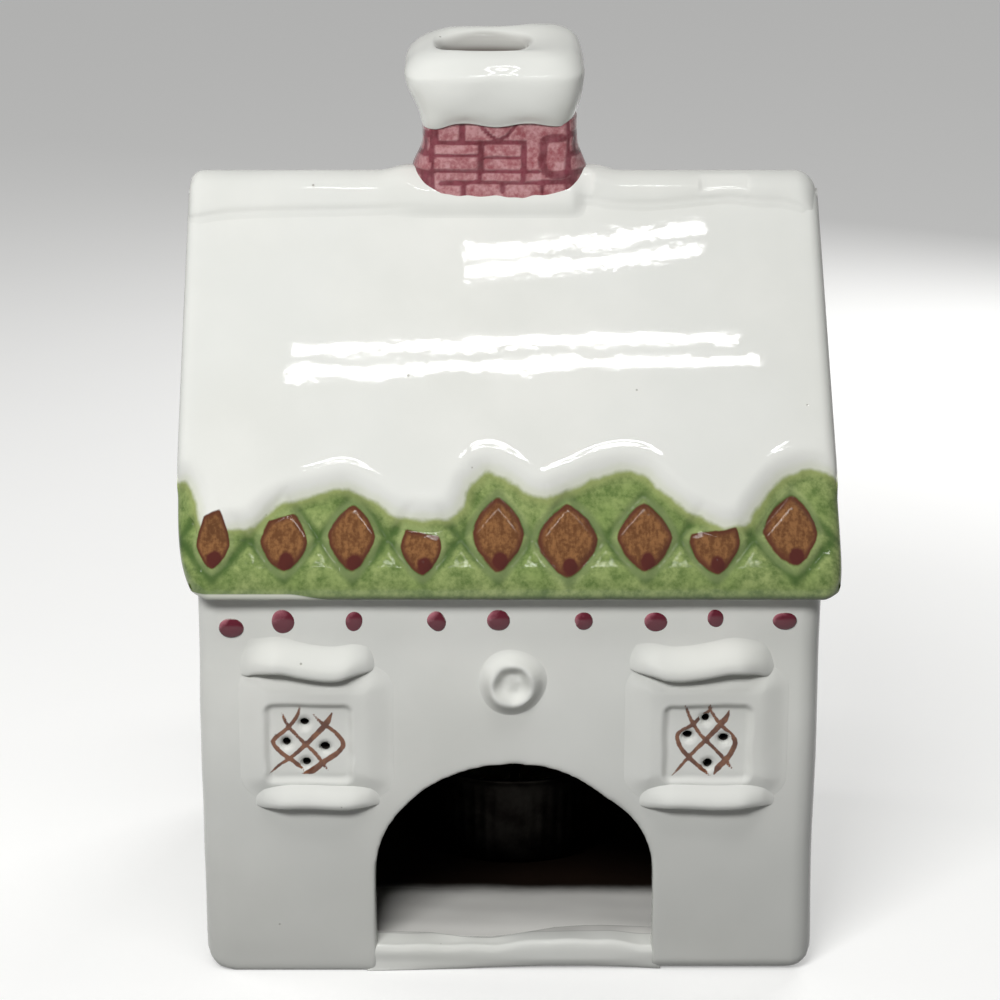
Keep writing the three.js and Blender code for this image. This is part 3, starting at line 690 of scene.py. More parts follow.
under_wave = [
    (0, -1.0), (0.07, -0.8), (0.15, 0.15), (0.3, 0.8), (0.45, 0.0), (0.6, -0.65), (0.71, -0.65),
    (0.82, 0.0), (1, 0.2),
]
window_glaze, place = start_finish("strokes_on_panes", {"IOR": 1.5})
colour, roughness, ripple = glaze_on_clay(place)
(stroke,) = marks_on(place, "stroke")
bristle = noise(place, 0.7, 3)
ink = (stroke + bristle * 0.24 - 0.12).rise(-0.04, 0.13)
brown = noise(place, 1.6, 2).rise(0.35, 0.65).over((0.25, 0.095, 0.042, 1), (0.13, 0.042, 0.020, 1))
end_finish(window_glaze, ripple, Base_Color=ink.over(colour, brown), Roughness=roughness)

for name, degrees, middle, foot, width, pane_shift, strokes, holes in windows:
    side = abs(degrees) == 90
    reach = SIDE if side else FRONT
    back_turn = np.array(Matrix.Rotation(math.radians(-degrees), 3, "Z"))
    left, right = middle - width / 2, middle + width / 2
    low = foot + SURROUND["foot"]
    pane_middle = middle + pane_shift
    seed = 80 + int(abs(middle) * 10) + degrees

    def surround_height(across, up):
        plate_out = beyond_box(across, up, left, low, width, SURROUND["height"], 1.8)
        pane_left = pane_middle - PANE["width"] / 2
        pane_out = beyond_box(
            across, up, pane_left, foot + PANE["foot"], PANE["width"], PANE["height"], 1.0
        )
        points = np.stack([across, 0 * across, up], axis=-1)
        high = SURROUND["depth"] * soft_step(plate_out, 2.4, -2.6) * (1 + 0.05 * wobble(points, 9, seed))
        high -= PANE["recess"] * soft_step(pane_out + 0.12 * wobble(points, 5, seed + 1), 0.8, -0.5)
        for hole_across, hole_up in holes:
            away = np.hypot(across - pane_middle - hole_across, up - foot - hole_up)
            high -= 0.35 * soft_step(away, HOLE_RADIUS + 0.55, HOLE_RADIUS - 0.1)
        high += wall_swell(lay_on_wall(across, up, 0 * across) @ back_turn)
        return high - 0.3 * soft_step(plate_out, 2.1, 2.9)

    def lay_on_wall(across, up, height):
        return np.stack([across, -reach - height, up], axis=-1)

    rows_across = np.arange(left - 3.0, right + 3.1, 0.3)
    rows_up = np.arange(low - 3.0, low + SURROUND["height"] + 3.1, 0.3)
    bm = turned(plate(rows_across, rows_up, surround_height, -0.8, lay_on_wall), degrees)
    drills = bmesh.new()
    for hole_across, hole_up in holes:
        spot = Matrix.Translation(((pane_middle + hole_across) * MM, -reach * MM, (foot + hole_up) * MM))
        bmesh.ops.create_cone(
            drills, cap_ends=True, segments=24, radius1=HOLE_RADIUS * MM, radius2=HOLE_RADIUS * MM,
            depth=12 * MM, matrix=spot @ Matrix.Rotation(math.pi / 2, 4, "X"),
        )
    mesh = pierced(bm, turned(drills, degrees))
    node = f"{name}_window_surround"
    surround = add_mesh(f"glazed_{node}", mesh, window_glaze, [node])
    local = places_of(mesh) @ back_turn.T
    flat = np.column_stack([local[:, 0] - pane_middle, local[:, 2] - foot - 0.35])
    ink_depth = np.full(len(flat), -9.0)
    for line, (first, last) in zip(strokes, STROKE_HALVES):
        away, share = along_line(flat, smooth_line(line, 3))
        half = np.interp(share, [0, 0.12, 0.9, 1], [0.16, first, last, 0.12])
        ink_depth = np.maximum(ink_depth, half - away)
    mark(surround, "stroke", ink_depth)

    span_left, span_right = left - 2.4, right + 0.3
    lintel_foot = foot + 22.6
    under_shares, under_waves = np.transpose(smooth_line(under_wave, 4))

    def share_of(x):
        return (x - span_left) / (span_right - span_left)

    def end_taper(x, power=3.2):
        return max(1 - min(abs(2 * share_of(x) - 1), 1) ** power, 0) ** (1 / power)

    def end_rise(x):
        return float(soft_step(min(x - span_left, span_right - x), -0.4, 6.5))

    def under_edge(x):
        share = share_of(x) if degrees in (0, -90) and middle < 0 else 1 - share_of(x)
        bow = 0.8 * np.interp(share, under_shares, under_waves)
        return lintel_foot + bow + 1.5 * (1 - end_taper(x, 2.6))

    turns = np.linspace(-math.pi / 2, math.pi / 2, 72)
    stations = (span_left + span_right) / 2 + (span_right - span_left) / 2 * np.sin(turns) * 0.999
    bm = snow_roll(
        stations,
        under_edge,
        lambda x: 3.2 + 2.0 * end_taper(x, 2.4),
        lambda x: 0.1 + (1.2 if side else 2.8) * end_rise(x),
        reach,
        [
            (-0.3, 0.14), (0.3, 0.02), (0.72, 0.0), (0.95, 0.09), (1.0, 0.23), (0.95, 0.37), (0.80, 0.51),
            (0.55, 0.685), (0.30, 0.86), (0.12, 0.99), (0.0, 1.11), (-0.1, 1.25), (-0.3, 1.35),
            (-0.3, 0.9),
        ],
    )
    node = f"{name}_window_lintel_snow"
    add_piece(f"glazed_{node}", turned(bm, degrees), white_glaze, [node])

    span_left, span_right = left - 0.7, right + 0.8
    stations = (span_left + span_right) / 2 + (span_right - span_left) / 2 * np.sin(turns) * 0.999
    bm = snow_roll(
        stations,
        lambda x: foot + 0.4 + 0.12 * math.sin((x - left) * 0.5 + seed) + 0.5 * (1 - end_taper(x)),
        lambda x: 2.6 + 1.5 * end_taper(x, 2.6),
        lambda x: 0.1 + (1.1 if side else 2.4) * end_rise(x),
        reach,
        [
            (-0.4, 0.05), (0.1, 0.0), (0.55, 0.02), (0.85, 0.10), (1.0, 0.27), (0.95, 0.44), (0.76, 0.62),
            (0.50, 0.80), (0.25, 0.98), (0.05, 1.12), (-0.12, 1.25), (-0.4, 1.3), (-0.4, 0.7),
        ],
    )
    node = f"{name}_window_sill_snow"
    add_piece(f"glazed_{node}", turned(bm, degrees), white_glaze, [node])


# The roof's skin: tiles along each eave, pressed with a lattice of grooves, and snow that
# ends over them in soft lobes. Green is brushed on the tiles, and brown on each diamond.
HALF_ROOF = 51.45
VERGE_ROUND = 2.2
SNOW_TOP = 2.4
scallops = [
    (-51.9, 16.3), (-50.1, 16.1), (-48.8, 14.8), (-47.9, 11.0), (-47.0, 8.5), (-45.2, 8.0),
    (-42.6, 8.2), (-39.0, 8.8), (-36.8, 11.0), (-34.5, 12.6), (-31.5, 13.5), (-28.4, 14.3),
    (-25.3, 15.0), (-22.2, 13.5), (-19.1, 11.5), (-16.8, 10.2), (-13.2, 9.7), (-10.6, 9.8),
    (-7.9, 11.0), (-6.6, 13.5), (-6.0, 15.5), (-3.7, 17.6), (-1.4, 17.0), (0.9, 15.5),
    (3.2, 14.0), (6.0, 13.5), (8.6, 14.6), (11.0, 15.5), (14.1, 17.0), (17.9, 17.8),
    (21.0, 17.1), (23.3, 14.8), (26.3, 12.1), (29.4, 10.2), (32.4, 8.8), (34.7, 8.5),
    (36.7, 9.2), (38.2, 11.5), (39.9, 13.8), (41.9, 16.1), (45.0, 17.8), (48.1, 18.1),
    (50.9, 16.8), (53, 15.6),
]
scallop_line = smooth_line(scallops, 4)
# Each diamond: its middle, and its left, right, top and bottom ends, across and up the slope.
diamonds = [
    (-45.4, 6.0, -47.9, -42.8, 10.8, 2.0), (-34.4, 6.4, -38.1, -30.9, 11.0, 1.6),
    (-24.0, 7.4, -27.8, -20.6, 12.5, 1.6), (-13.2, 5.6, -16.6, -10.4, 8.0, 1.0),
    (-1.7, 7.9, -5.7, 2.3, 13.8, 1.6), (9.0, 6.9, 4.3, 13.6, 12.6, 0.8),
    (20.8, 7.2, 16.6, 25.0, 12.8, 1.6), (31.7, 6.4, 27.7, 35.6, 8.2, 1.2),
    (44.0, 8.0, 39.3, 47.7, 14.3, 2.5),
]
# The diamonds that the snow cuts off: how high up, and how that edge slants.
low_topped = {0: (10.6, 0.35), 1: (10.6, 0.35), 3: (7.9, -0.22), 7: (8.1, 0.10)}


def on_slope(along, above):
    """Depth and height of a place on the front slope, up it and above its tiles."""
    return -EAVE_REACH + along * ACROSS - above * UP, EAVE_HEIGHT + along * UP + above * ACROSS


def over_edge(x, along):
    """How far up the slope from the edge of the snow a place is, by the shortest way."""
    flat = np.column_stack([x.ravel(), along.ravel()])
    away, _ = along_line(flat, scallop_line)
    edge = np.interp(x.ravel(), *scallop_line.T)
    return (np.where(along.ravel() > edge, 1, -1) * away).reshape(x.shape)


def from_grooves(x, along):
    middles = [d[0] for d in diamonds]
    crossings = [-50.6] + [(a + b) / 2 for a, b in zip(middles, middles[1:])] + [50.2]
    flat = np.column_stack([x.ravel(), along.ravel()])
    nearest = np.full(len(flat), 9.0)
    for i, middle in enumerate(middles):
        for side in (crossings[i], crossings[i + 1]):
            bowed = (side + middle) / 2, 3.4
            away, _ = along_line(flat, [(side, 7.2), bowed, (middle, 0.3)])
            nearest = np.minimum(nearest, away)
            away, _ = along_line(flat, [(side, 7.2), (middle, 14.3)])
            nearest = np.minimum(nearest, away)
    return nearest.reshape(x.shape)


def in_diamonds(x, along):
    """How far inside the brown of its diamond each place is, in mm, and how near its tip."""
    deepest, tip = np.full(x.shape, -9.0), np.full(x.shape, 9.0)
    for i, (middle, centre, left, right, top, bottom) in enumerate(diamonds):
        across = np.abs(x - middle) / np.where(x < middle, middle - left, right - middle)
        upward = np.abs(along - centre) / np.where(along > centre, max(top, 12.2) - centre, centre - bottom)
        power = 1.45
        inside = 1 - (across**power + upward**power) ** (1 / power)
        depth = inside * 3.6
        if i in low_topped:
            cut, slant = low_topped[i]
            depth = np.minimum(depth, (cut + slant * (x - middle) - along) * 0.9)
        deepest = np.maximum(deepest, depth)
        tip = np.minimum(tip, np.hypot(x - middle - 0.3, (along - bottom - 1.5) * 0.8))
    return deepest, tip


def skin_height(x, along):
    """The outer skin of the roof above the plane of its tiles."""
    over = over_edge(x, along)
    snow = soft_step(over, -2.5, 3.4)
    groove = from_grooves(x, along)
    brown, _ = in_diamonds(x, along)
    tile = 0.30 * soft_step(brown, -1.6, 0.9) + 0.16 * soft_step(groove, 0, 1.6)
    tile -= 0.34 * np.exp(-((groove / 0.62) ** 2))
    points = np.stack([x, 0 * x, along], axis=-1)
    waves = 0.004 * wobble(points, 34, 21) + 0.0008 * wobble(points, 13, 22)
    tile = tile * soft_step(along, 0.2, 1.8) * (1 - snow) * soft_step(np.abs(x), 50.5, 48)
    rims = 0.065 * np.exp(-(((over - 2.8) / 1.6) ** 2)) * soft_step(over, -1.2, 1.5)
    rims *= soft_step(np.abs(x), 51, 48)
    rims += 0.12 * np.exp(-(((along - 1.6) / 1.3) ** 2)) * (1 - snow) * soft_step(np.abs(x), 50.5, 48)
    return SNOW_TOP * snow + tile + rims + waves * soft_step(along, 0.5, 6)


def verge_drop(x, radius=VERGE_ROUND):
    """How far the skin is drawn in where it rounds over the verge."""
    out = np.clip(np.abs(x) - HALF_ROOF + radius, 0, radius)
    return radius - np.sqrt(radius**2 - out**2)


def draw_in(x, along):
    """Both ends of the eave are drawn in towards the foot, the left one further."""
    left = 4.0 * np.exp(-(np.clip(along, -2.5, 60) + 2.5) / 5.0) * soft_step(-x, 38, 51)
    right = 1.7 * np.exp(-(np.clip(along, -2.5, 60) + 2.5) / 2.2) * soft_step(x, 45, 51)
    return x + left - right


turns = np.linspace(0.08, math.pi / 2, 11)
verge_ends = HALF_ROOF - VERGE_ROUND + VERGE_ROUND * np.sin(turns)
roof_stations = np.concatenate([-verge_ends[::-1], np.arange(-48.72, 48.8, 0.36), verge_ends])

roof_glaze, place = start_finish("green_on_tiles", {"IOR": 1.5})
colour, roughness, ripple = glaze_on_clay(place)
over, groove, brown, tip = marks_on(place, "over", "groove", "brown", "tip")
x, _, z = in_mm(place)
edge_cloud = noise(place, 2.4, 3)
speckle = noise(place, 0.55, 2)
brush = noise(place, 2.2, 4, 0.6)
thin = noise(place, 7, 3)
outer = over - (edge_cloud - 0.5) * 1.1
green_light = thin.rise(0.3, 0.7).over((0.25, 0.34, 0.10, 1), (0.36, 0.43, 0.16, 1))
green_deep = brush.rise(0.3, 0.72).over((0.085, 0.15, 0.030, 1), (0.15, 0.225, 0.058, 1))
green = ((brush * 0.8 + speckle * 0.2).rise(0.30, 0.70) * 0.7 + 0.12).over(green_deep, green_light)
pool = groove.rise(1.25, 0.05)
green = (pool * 0.85).over(green, (0.048, 0.105, 0.018, 1))
rim_light = brown.rise(-1.3, -0.5) * brown.rise(0.1, -0.25) * 0.3
green = rim_light.over(green, (0.38, 0.44, 0.20, 1))
green = (outer.rise(-1.5, -0.1) * 0.75).over(green, (0.36, 0.41, 0.15, 1))
# Painted shade under the eave: the foot of the tiles' face and their underside are painted a dark green.
eave_underside_shade = z.rise(65.2, 64.0)
green = (eave_underside_shade * 0.8).over(green, (0.028, 0.06, 0.012, 1))
green_mask = outer.rise(0.42, -0.42) * (z - x.rise(-27, -34)).rise(63.85, 64.15)
colour = (outer.rise(1.7, 0.2) * 0.35).over(colour, (0.60, 0.64, 0.42, 1))
colour = green_mask.over(colour, green)
hatch_place = place.add("ShaderNodeMapping", inputs={0: place, 3: (1.0, 0.35, 0.35)})
hatch = noise(hatch_place, 0.9, 3, 0.65)
body = (hatch * 0.6 + speckle * 0.4).rise(0.38, 0.62)
body = body.over((0.135, 0.050, 0.014, 1), (0.27, 0.120, 0.040, 1))
body = (brown + (edge_cloud - 0.5) * 0.8).rise(1.1, 0.1).over(body, (0.105, 0.028, 0.011, 1))
body = (tip + (edge_cloud - 0.5) * 0.9).rise(1.5, 0.9).over(body, (0.085, 0.013, 0.008, 1))
colour = (brown + (edge_cloud - 0.5) * 0.55).rise(-0.14, 0.14).over(colour, body)
end_finish(roof_glaze, ripple + green_mask * speckle * 0.000012, Base_Color=colour, Roughness=roughness)


def mark_roof(piece, x, along):
    mark(piece, "over", over_edge(x, along).ravel())
    mark(piece, "groove", from_grooves(x, along).ravel())
    brown, tip = in_diamonds(x, along)
    mark(piece, "brown", brown.ravel())
    mark(piece, "tip", tip.ravel())


def flat_places(piece):
    """Across and up the front slope of each point of a piece."""
    points = places_of(piece.data)
    return points[:, 0], (points[:, 1] + EAVE_REACH) * ACROSS + (points[:, 2] - EAVE_HEIGHT) * UP


def lean_in(*pieces):
    """Moves the right verge in a little, and further in towards the ridge."""
    for piece in pieces:
        points = places_of(piece.data)
        lean = 0.2 + 1.6 * (points[:, 2] - EAVE_HEIGHT) / 52
        points[:, 0] -= lean * soft_step(points[:, 0], 20, 51)
        piece.data.vertices.foreach_set("co", (points * MM).ravel())


def other_side(piece, name, node):
    """The same piece on the back of the house, turned half round."""
    mesh = piece.data.copy()
    mesh.transform(Matrix.Rotation(math.pi, 4, "Z"))
    return add_mesh(name, mesh, piece.data.materials[0], [node])


def bend(share, start, corner, end):
    """Places on a rounded corner between start and end, in depth and height."""
    start, corner, end = map(np.array, (start, corner, end))
    return (1 - share) ** 2 * start + 2 * share * (1 - share) * corner + share**2 * end


def tile_loops():
    """The tile course in side view at each station: its top, rounded lip, face and soffit."""
    face = 0.01 - EAVE_REACH
    top = np.concatenate([np.arange(20.15, 2.2, -0.34), [2.1]])
    lip_share = np.linspace(0, 1, 11)[1:, None]
    lip = bend(lip_share, on_slope(2.1, 0), (face, EAVE_HEIGHT), (face, 65.2))
    normal_top = np.array([-UP, ACROSS])
    lip_out = normal_top * (1 - lip_share) + np.array([-1.0, 0.0]) * lip_share
    lip_out /= np.hypot(*lip_out.T)[:, None]
    toe_share = np.linspace(0, 1, 8)[:, None]
    toe = bend(toe_share, (face, 64.9), (face, 63.75), (-40.7, 63.8))
    toe_out = np.array([-1.0, 0.0]) * (1 - toe_share) + np.array([0.0, -1.0]) * toe_share
    toe_out /= np.hypot(*toe_out.T)[:, None]
    soffit = np.column_stack([np.linspace(-39.8, -34.6, 6), np.full(6, 63.8)])
    under = np.array([on_slope(along, -5.0) for along in np.linspace(4.6, 20.15, 8)])
    drop = verge_drop(roof_stations)
    low_drop = verge_drop(roof_stations, 1.6)
    loops = []
    for x, drawn, low in zip(roof_stations, drop, low_drop):
        along = top
        x_row = draw_in(np.full(len(along), x), along)
        over = over_edge(x_row, along)
        hidden = soft_step(over, -1.9, 0.3)
        above = skin_height(x_row, along) * (1 - hidden) - drawn * (1 - hidden)
        above -= np.where(over > -1.9, 0.012 + 0.35 * soft_step(over, -1.7, -0.2), 0)
        crest = np.column_stack([x_row, *on_slope(along, np.where(over > 0.3, -0.02, above))])
        bump = skin_height(draw_in(np.full(1, x), np.full(1, 2.1)), np.full(1, 2.1))[0]
        fade = (1 - lip_share[:, 0]) ** 2
        lip_row = lip + lip_out * (bump * fade - drawn)[:, None]
        toe_row = toe - toe_out * drawn
        rows = [crest]
        for row in (lip_row, toe_row, soffit + [0, low], under + normal_top * low):
            row_along = (row[:, 0] + EAVE_REACH) * ACROSS + (row[:, 1] - EAVE_HEIGHT) * UP
            rows.append(np.column_stack([draw_in(np.full(len(row), x), row_along), row]))
        loops.append(np.concatenate(rows))
    return np.array(loops)


bm = skin_over(tile_loops())
tiles = add_piece("painted_tile_course_front", bm, roof_glaze, ["tile_course_front"])
mark_roof(tiles, *flat_places(tiles))
lean_in(tiles, other_side(tiles, "painted_tile_course_back", "tile_course_back"))


# The roof slabs: two sheets of clay, 5 mm thick, that meet along the ridge. They show at the
# verges, under the eaves and from inside, and the flue passes between them.
STACK_MIDDLE, STACK_BACK = -1.45, 1.4
FLUE_MIDDLE = -4.0


def flue_drill():
    """A block that clears the flue's way through a body and ends inside the brick."""
    bm = bmesh.new()
    bmesh.ops.create_cube(bm, size=1)
    bmesh.ops.scale(bm, vec=(13.8 * MM, 10.8 * MM, 60 * MM), verts=bm.verts[:])
    bmesh.ops.translate(bm, vec=(FLUE_MIDDLE * MM, STACK_BACK * MM, 120 * MM), verts=bm.verts[:])
    return bm


slab_loops = []
for x, low in zip(roof_stations, verge_drop(roof_stations, 1.6)):
    foot = on_slope(20.15, 0), on_slope(20.15, -5.0 + low)
    ridge = (-0.02, EAVE_HEIGHT + 41.98 * math.tan(PITCH))
    ridge_low = (-0.02, ridge[1] - (5.0 - low) / ACROSS)
    share = np.linspace(0, 1, 30)[:, None]
    top = np.array(foot[0]) * (1 - share) + np.array(ridge) * share
    below = np.array(ridge_low) * (1 - share) + np.array(foot[1]) * share
    line = np.concatenate([top, below])
    slab_loops.append(np.column_stack([np.full(len(line), x), line]))
for side, degrees in (("front", 0), ("back", 180)):
    mesh = pierced(turned(skin_over(np.array(slab_loops)), degrees), flue_drill())
    lean_in(add_mesh(f"glazed_roof_slab_{side}", mesh, white_glaze, [f"roof_slab_{side}"]))


# The snow on each slope: a sheet of white clay laid over the slab and the upper tiles, its
# foot smoothed down on them with a finger. The ridge's snow covers its top.
def blanket_loops():
    loops = []
    for x, drawn in zip(roof_stations, verge_drop(roof_stations)):
        x = np.clip(x, -HALF_ROOF + 0.01, HALF_ROOF - 0.01)
        foot = np.interp(x, *scallop_line.T) - 5.0
        top = 66 - 3.6 * float(soft_step(abs(x - STACK_MIDDLE), 14.6, 12))
        along = np.concatenate([foot + np.arange(0, 13, 0.34), np.linspace(foot + 13.4, top, 52)])
        x_row = draw_in(np.full(len(along), x), along)
        over = over_edge(x_row, along)
        above = skin_height(x_row, along) - drawn
        above -= np.where(over < -1.3, 0.012 + 0.5 * soft_step(over, -1.5, -3.0), 0)
        under_along = np.linspace(top, foot, 24)
        under_x = draw_in(np.full(24, x), under_along)
        under = np.minimum(0, np.interp(under_along, along, above) - 0.3)
        outside = np.column_stack([x_row, *on_slope(along, above)])
        inside = np.column_stack([under_x, *on_slope(under_along, under)])
        loops.append(np.concatenate([outside, inside]))
    return np.array(loops)


bm = skin_over(blanket_loops())
blanket = add_piece("glazed_snow_blanket_front", bm, roof_glaze, ["snow_blanket_front"])
mark_roof(blanket, *flat_places(blanket))
lean_in(blanket, other_side(blanket, "glazed_snow_blanket_back", "snow_blanket_back"))


# The ridge snow: a low roll pressed down along the ridge, with a soft crease along its foot. It
# is drawn up round the chimney, and higher behind it than in front.
crease = smooth_line(
    [
        (-51, 59.7), (-44.3, 60.8), (-33.2, 61.2), (-19.7, 61.5), (0, 62.6), (11.2, 63.3), (16.7, 62.5),
        (22.7, 62.3), (27.5, 62.7), (32.5, 63.2), (37.0, 63.4), (41.5, 62.8), (45.2, 62.7),
        (48.5, 61.7), (51, 59.8),
    ],
    4,
)
crown = np.array([(-3.6, 121.0), (-2.2, 122.1), (-0.9, 122.6), (0, 122.7)])


def spread(controls):
    """A smooth line through the controls, as 40 points at even distances."""
    line = smooth_line(controls, 6)
    passed = np.concatenate([[0], np.cumsum(np.hypot(*np.diff(line, axis=0).T))])
    even = np.linspace(0, passed[-1], 40)
    return np.column_stack([np.interp(even, passed, values) for values in line.T])


def ridge_half(x, behind):
    """One half of the ridge snow in side view at a station, from its foot to the top."""
    off = abs(x - STACK_MIDDLE)
    near = float(soft_step(off, 20, 13.6))
    foot = float(np.interp(-x if behind else x, *crease.T))
    hidden = [(57, SNOW_TOP - 0.2), (58, SNOW_TOP - 0.06)]
    rows = hidden + [(foot - 0.45, SNOW_TOP - 0.03), (foot + 0.25, SNOW_TOP + 0.2)]
    rows += [(foot + 0.9, SNOW_TOP + 0.34), (foot + 1.9, SNOW_TOP + 0.85)]
    bar = np.array([on_slope(*row) for row in rows])
    top = crown + [0, 0.9 * near]
    bar = np.concatenate([bar, top[top[:, 0] > bar[-1, 0] + 0.5]])
    if behind:
        drawn_up = np.array([
            on_slope(46.5, SNOW_TOP - 0.06), on_slope(48.5, SNOW_TOP + 0.1), (-11.7, 110.6),
            (-10.9, 113.4), (-10.1, 116.0), (-9.1, 118.2), (-7.6, 120.2), (-5, 122.2), (-2, 123.4),
            (0, 123.6),
        ])
        shown = float(soft_step(off, 18.5, 12.8))
    else:
        rows = hidden + [(60.4, SNOW_TOP - 0.05), (61.2, SNOW_TOP + 0.15)]
        rows += [(62.1, SNOW_TOP + 0.75), (63.2, SNOW_TOP + 1.3), (65, SNOW_TOP + 1.6)]
        drawn_up = np.array([on_slope(*row) for row in rows] + [(-3, 122.2), (-1.5, 123.3), (0, 123.6)])
        shown = float(soft_step(x, -19.5, -13) * soft_step(x, 12.6, 9.8))
    return spread(bar) * (1 - shown) + spread(drawn_up) * shown


def ridge_loops():
    loops = []
    ends, radii = 51.2, (2.3, 3.5)
    turns = np.linspace(0, math.pi / 2, 14)
    left_tips, right_tips = (ends - radius + radius * np.sin(turns) for radius in radii)
    for x in np.concatenate([-left_tips[::-1], np.arange(-48.6, 47.4, 0.36), right_tips]):
        radius = radii[int(x > 0)]
        drawn = radius - math.sqrt(max(radius**2 - max(abs(x) - ends + radius, 0) ** 2, 0))
        front_half, back_half = ridge_half(x, False), ridge_half(x, True) * [-1, 1]
        front_half[:, 1] += 0.05 * math.sin(x * 0.35) * soft_step(front_half[:, 1], 117, 121)
        line = np.concatenate([front_half, back_half[::-1][1:]])
        inward = line - [0, 115.5]
        line = line - inward / np.hypot(*inward.T)[:, None] * drawn
        (front, front_low), (back, back_low) = line[0], line[-1]
        base = [(0.75 * back, back_low - 2.6), (0, 112.6), (0.75 * front, front_low - 2.6)]
        loops.append(np.column_stack([np.full(len(line) + 3, x), np.concatenate([line, base])]))
    return np.array(loops)


ridge_mesh = pierced(skin_over(ridge_loops()), flue_drill())
lean_in(add_mesh("glazed_ridge_snow", ridge_mesh, white_glaze, ["ridge_snow"]))


# The chimney: a four-sided stack built up round its flue, with flat front and back and sides
# that swell a little. Bricks are painted on it in crimson, thin in the middle of each brick.
def squircle(turns, power):
    """Points of a squarish ring between -1 and 1."""
    c, s = np.cos(turns), np.sin(turns)
    swell = (np.abs(c) ** power + np.abs(s) ** power) ** (-1 / power)
    return c * swell, s * swell


brick_glaze, place = start_finish("crimson_on_bricks", {"IOR": 1.5})
colour, roughness, ripple = glaze_on_clay(place)
mortar_and_edge_shade, blotch_and_side_shade = marks_on(place, "mortar_and_edge_shade", "blotch_and_side_shade")
x, y, _ = in_mm(place)
brush = noise(place, 2.0, 4, 0.6)
speckle = noise(place, 0.6, 2)
crimson_and_painted_light = (brush * 0.65 + speckle * 0.35).rise(0.34, 0.66)
crimson_and_painted_light = crimson_and_painted_light.over((0.33, 0.085, 0.10, 1), (0.60, 0.32, 0.33, 1))
deep = brush.rise(0.3, 0.7).over((0.10, 0.006, 0.014, 1), (0.22, 0.028, 0.05, 1))
lines = (mortar_and_edge_shade + (brush - 0.5) * 0.9).rise(0.2, 0.85)
# The blotch marks a dark curl on the front, and painted shade over the sides of the stack.
stain_and_side_shade = (blotch_and_side_shade + (brush - 0.5) * 0.8).rise(0.3, 0.9)
crimson_and_painted_light = (lines * 0.88).over(crimson_and_painted_light, deep)
crimson_and_painted_light = (stain_and_side_shade * 0.8).over(crimson_and_painted_light, deep)
# Soot and painted shade: the flue's inside is painted near black.
flue_way = (x - FLUE_MIDDLE).size().rise(7.2, 6.7) * (y - STACK_BACK).size().rise(4.9, 4.45)
crimson_and_painted_light = flue_way.over(crimson_and_painted_light, (0.03, 0.018, 0.012, 1))
end_finish(brick_glaze, ripple + lines * -0.00006, Base_Color=crimson_and_painted_light, Roughness=roughness)


def stack_loops():
    turns = np.linspace(0, 2 * math.pi, 160, endpoint=False)
    out_x, out_y = squircle(turns, 9)
    in_x, in_y = squircle(turns, 3)
    loops = []
    heights = np.linspace(109.5, 131.6, 60)
    for z in heights:
        swell = 1.3 + 1.6 * float(soft_step(z, 128, 122.5))
        x = STACK_MIDDLE + out_x * (11.15 + swell * (1 - out_y**2))
        loops.append(np.column_stack([x, STACK_BACK + out_y * 6.6, np.full(len(x), z)]))
    for z in heights[::-2]:
        x = FLUE_MIDDLE + 6.5 * in_x
        loops.append(np.column_stack([x, STACK_BACK + 4.25 * in_y, np.full(len(x), z)]))
    loops = np.array(loops)
    uneven = 0.12 * wobble(loops, 9, 31) + 0.05 * wobble(loops, 3, 32)
    loops[:60, :, 0] += uneven[:60] * out_x
    loops[:60, :, 1] += uneven[:60] * out_y
    return loops


def courses(left, right, slant, lean, height, half, rows):
    """Painted brickwork: a line under each row of bricks, and the uprights between its bricks."""
    lines = []
    for up, uprights in rows.items():
        lines.append((half, (left, up), (right, up + slant)))
        lines += [(half, (across, up), (across + lean, up + height)) for across in uprights]
    return lines


bm = skin_over(stack_loops(), ring=True)
stack = add_piece("painted_chimney_stack", bm, brick_glaze, ["chimney_stack"])
# Each line of the brickwork, and of the painted shade down the front's two corners: half its
# width, then its points, across or in depth and up.
front_mortar_and_edge_shade = [
    (0.3, (-11.6, 130.4), (-11.6, 128.2)), (0.35, (-7.4, 130.8), (-7.4, 128.2)),
    (0.16, (-12.4, 128.0), (-5, 128.0)), (0.18, (-5, 128.1), (1.8, 128.1)),
    (0.55, (-4.4, 128.0), (-4.5, 123.5)), (0.35, (2.4, 128.1), (2.4, 123.6)),
    (0.3, (-4.6, 123.1), (-4.6, 121.8)), (0.3, (2.3, 123.1), (2.3, 121.8)),
    (0.28, (-10.6, 121.5), (-6.8, 121.6)), (0.32, (-7.2, 121.3), (-7.2, 119.5)),
    (0.3, (-1.0, 121.3), (-1.0, 120.3)), (0.3, (5.2, 121.7), (9.2, 121.7)),
    (0.3, (5.3, 121.4), (5.3, 120.0)), (0.06, (-12, 125.9), (-5, 126.0)),
    (0.06, (-4, 125.7), (2, 125.6)), (0.1, (-12, 123.5), (5, 123.4)),
    (0.04, (-6.4, 121.7), (4.8, 121.6)), (0.3, (-12.3, 131), (-12.3, 119)),
    (0.3, (9.5, 131), (9.5, 119)),
    (0.1, (-4.5, 130.9), (-3.2, 129.4), (-1.7, 128.4), (-0.2, 129.2), (1.2, 131)),
]
side_rows = {119.9: (-4, 3.4), 123.0: (-6.6, 0.3, 6.4), 126.1: (-3.4, 4), 129.2: (-6, 0.6, 6)}
side_mortar = courses(-9, 9, 0.2, 0.2, 3, 0.4, side_rows)
back_rows = {
    120.4: (-8, -1.2, 5.6), 123.3: (-11, -4.4, 2.4, 8.4), 126.2: (-7.6, -0.8, 6), 129.1: (-10.6, -4, 2.8),
}
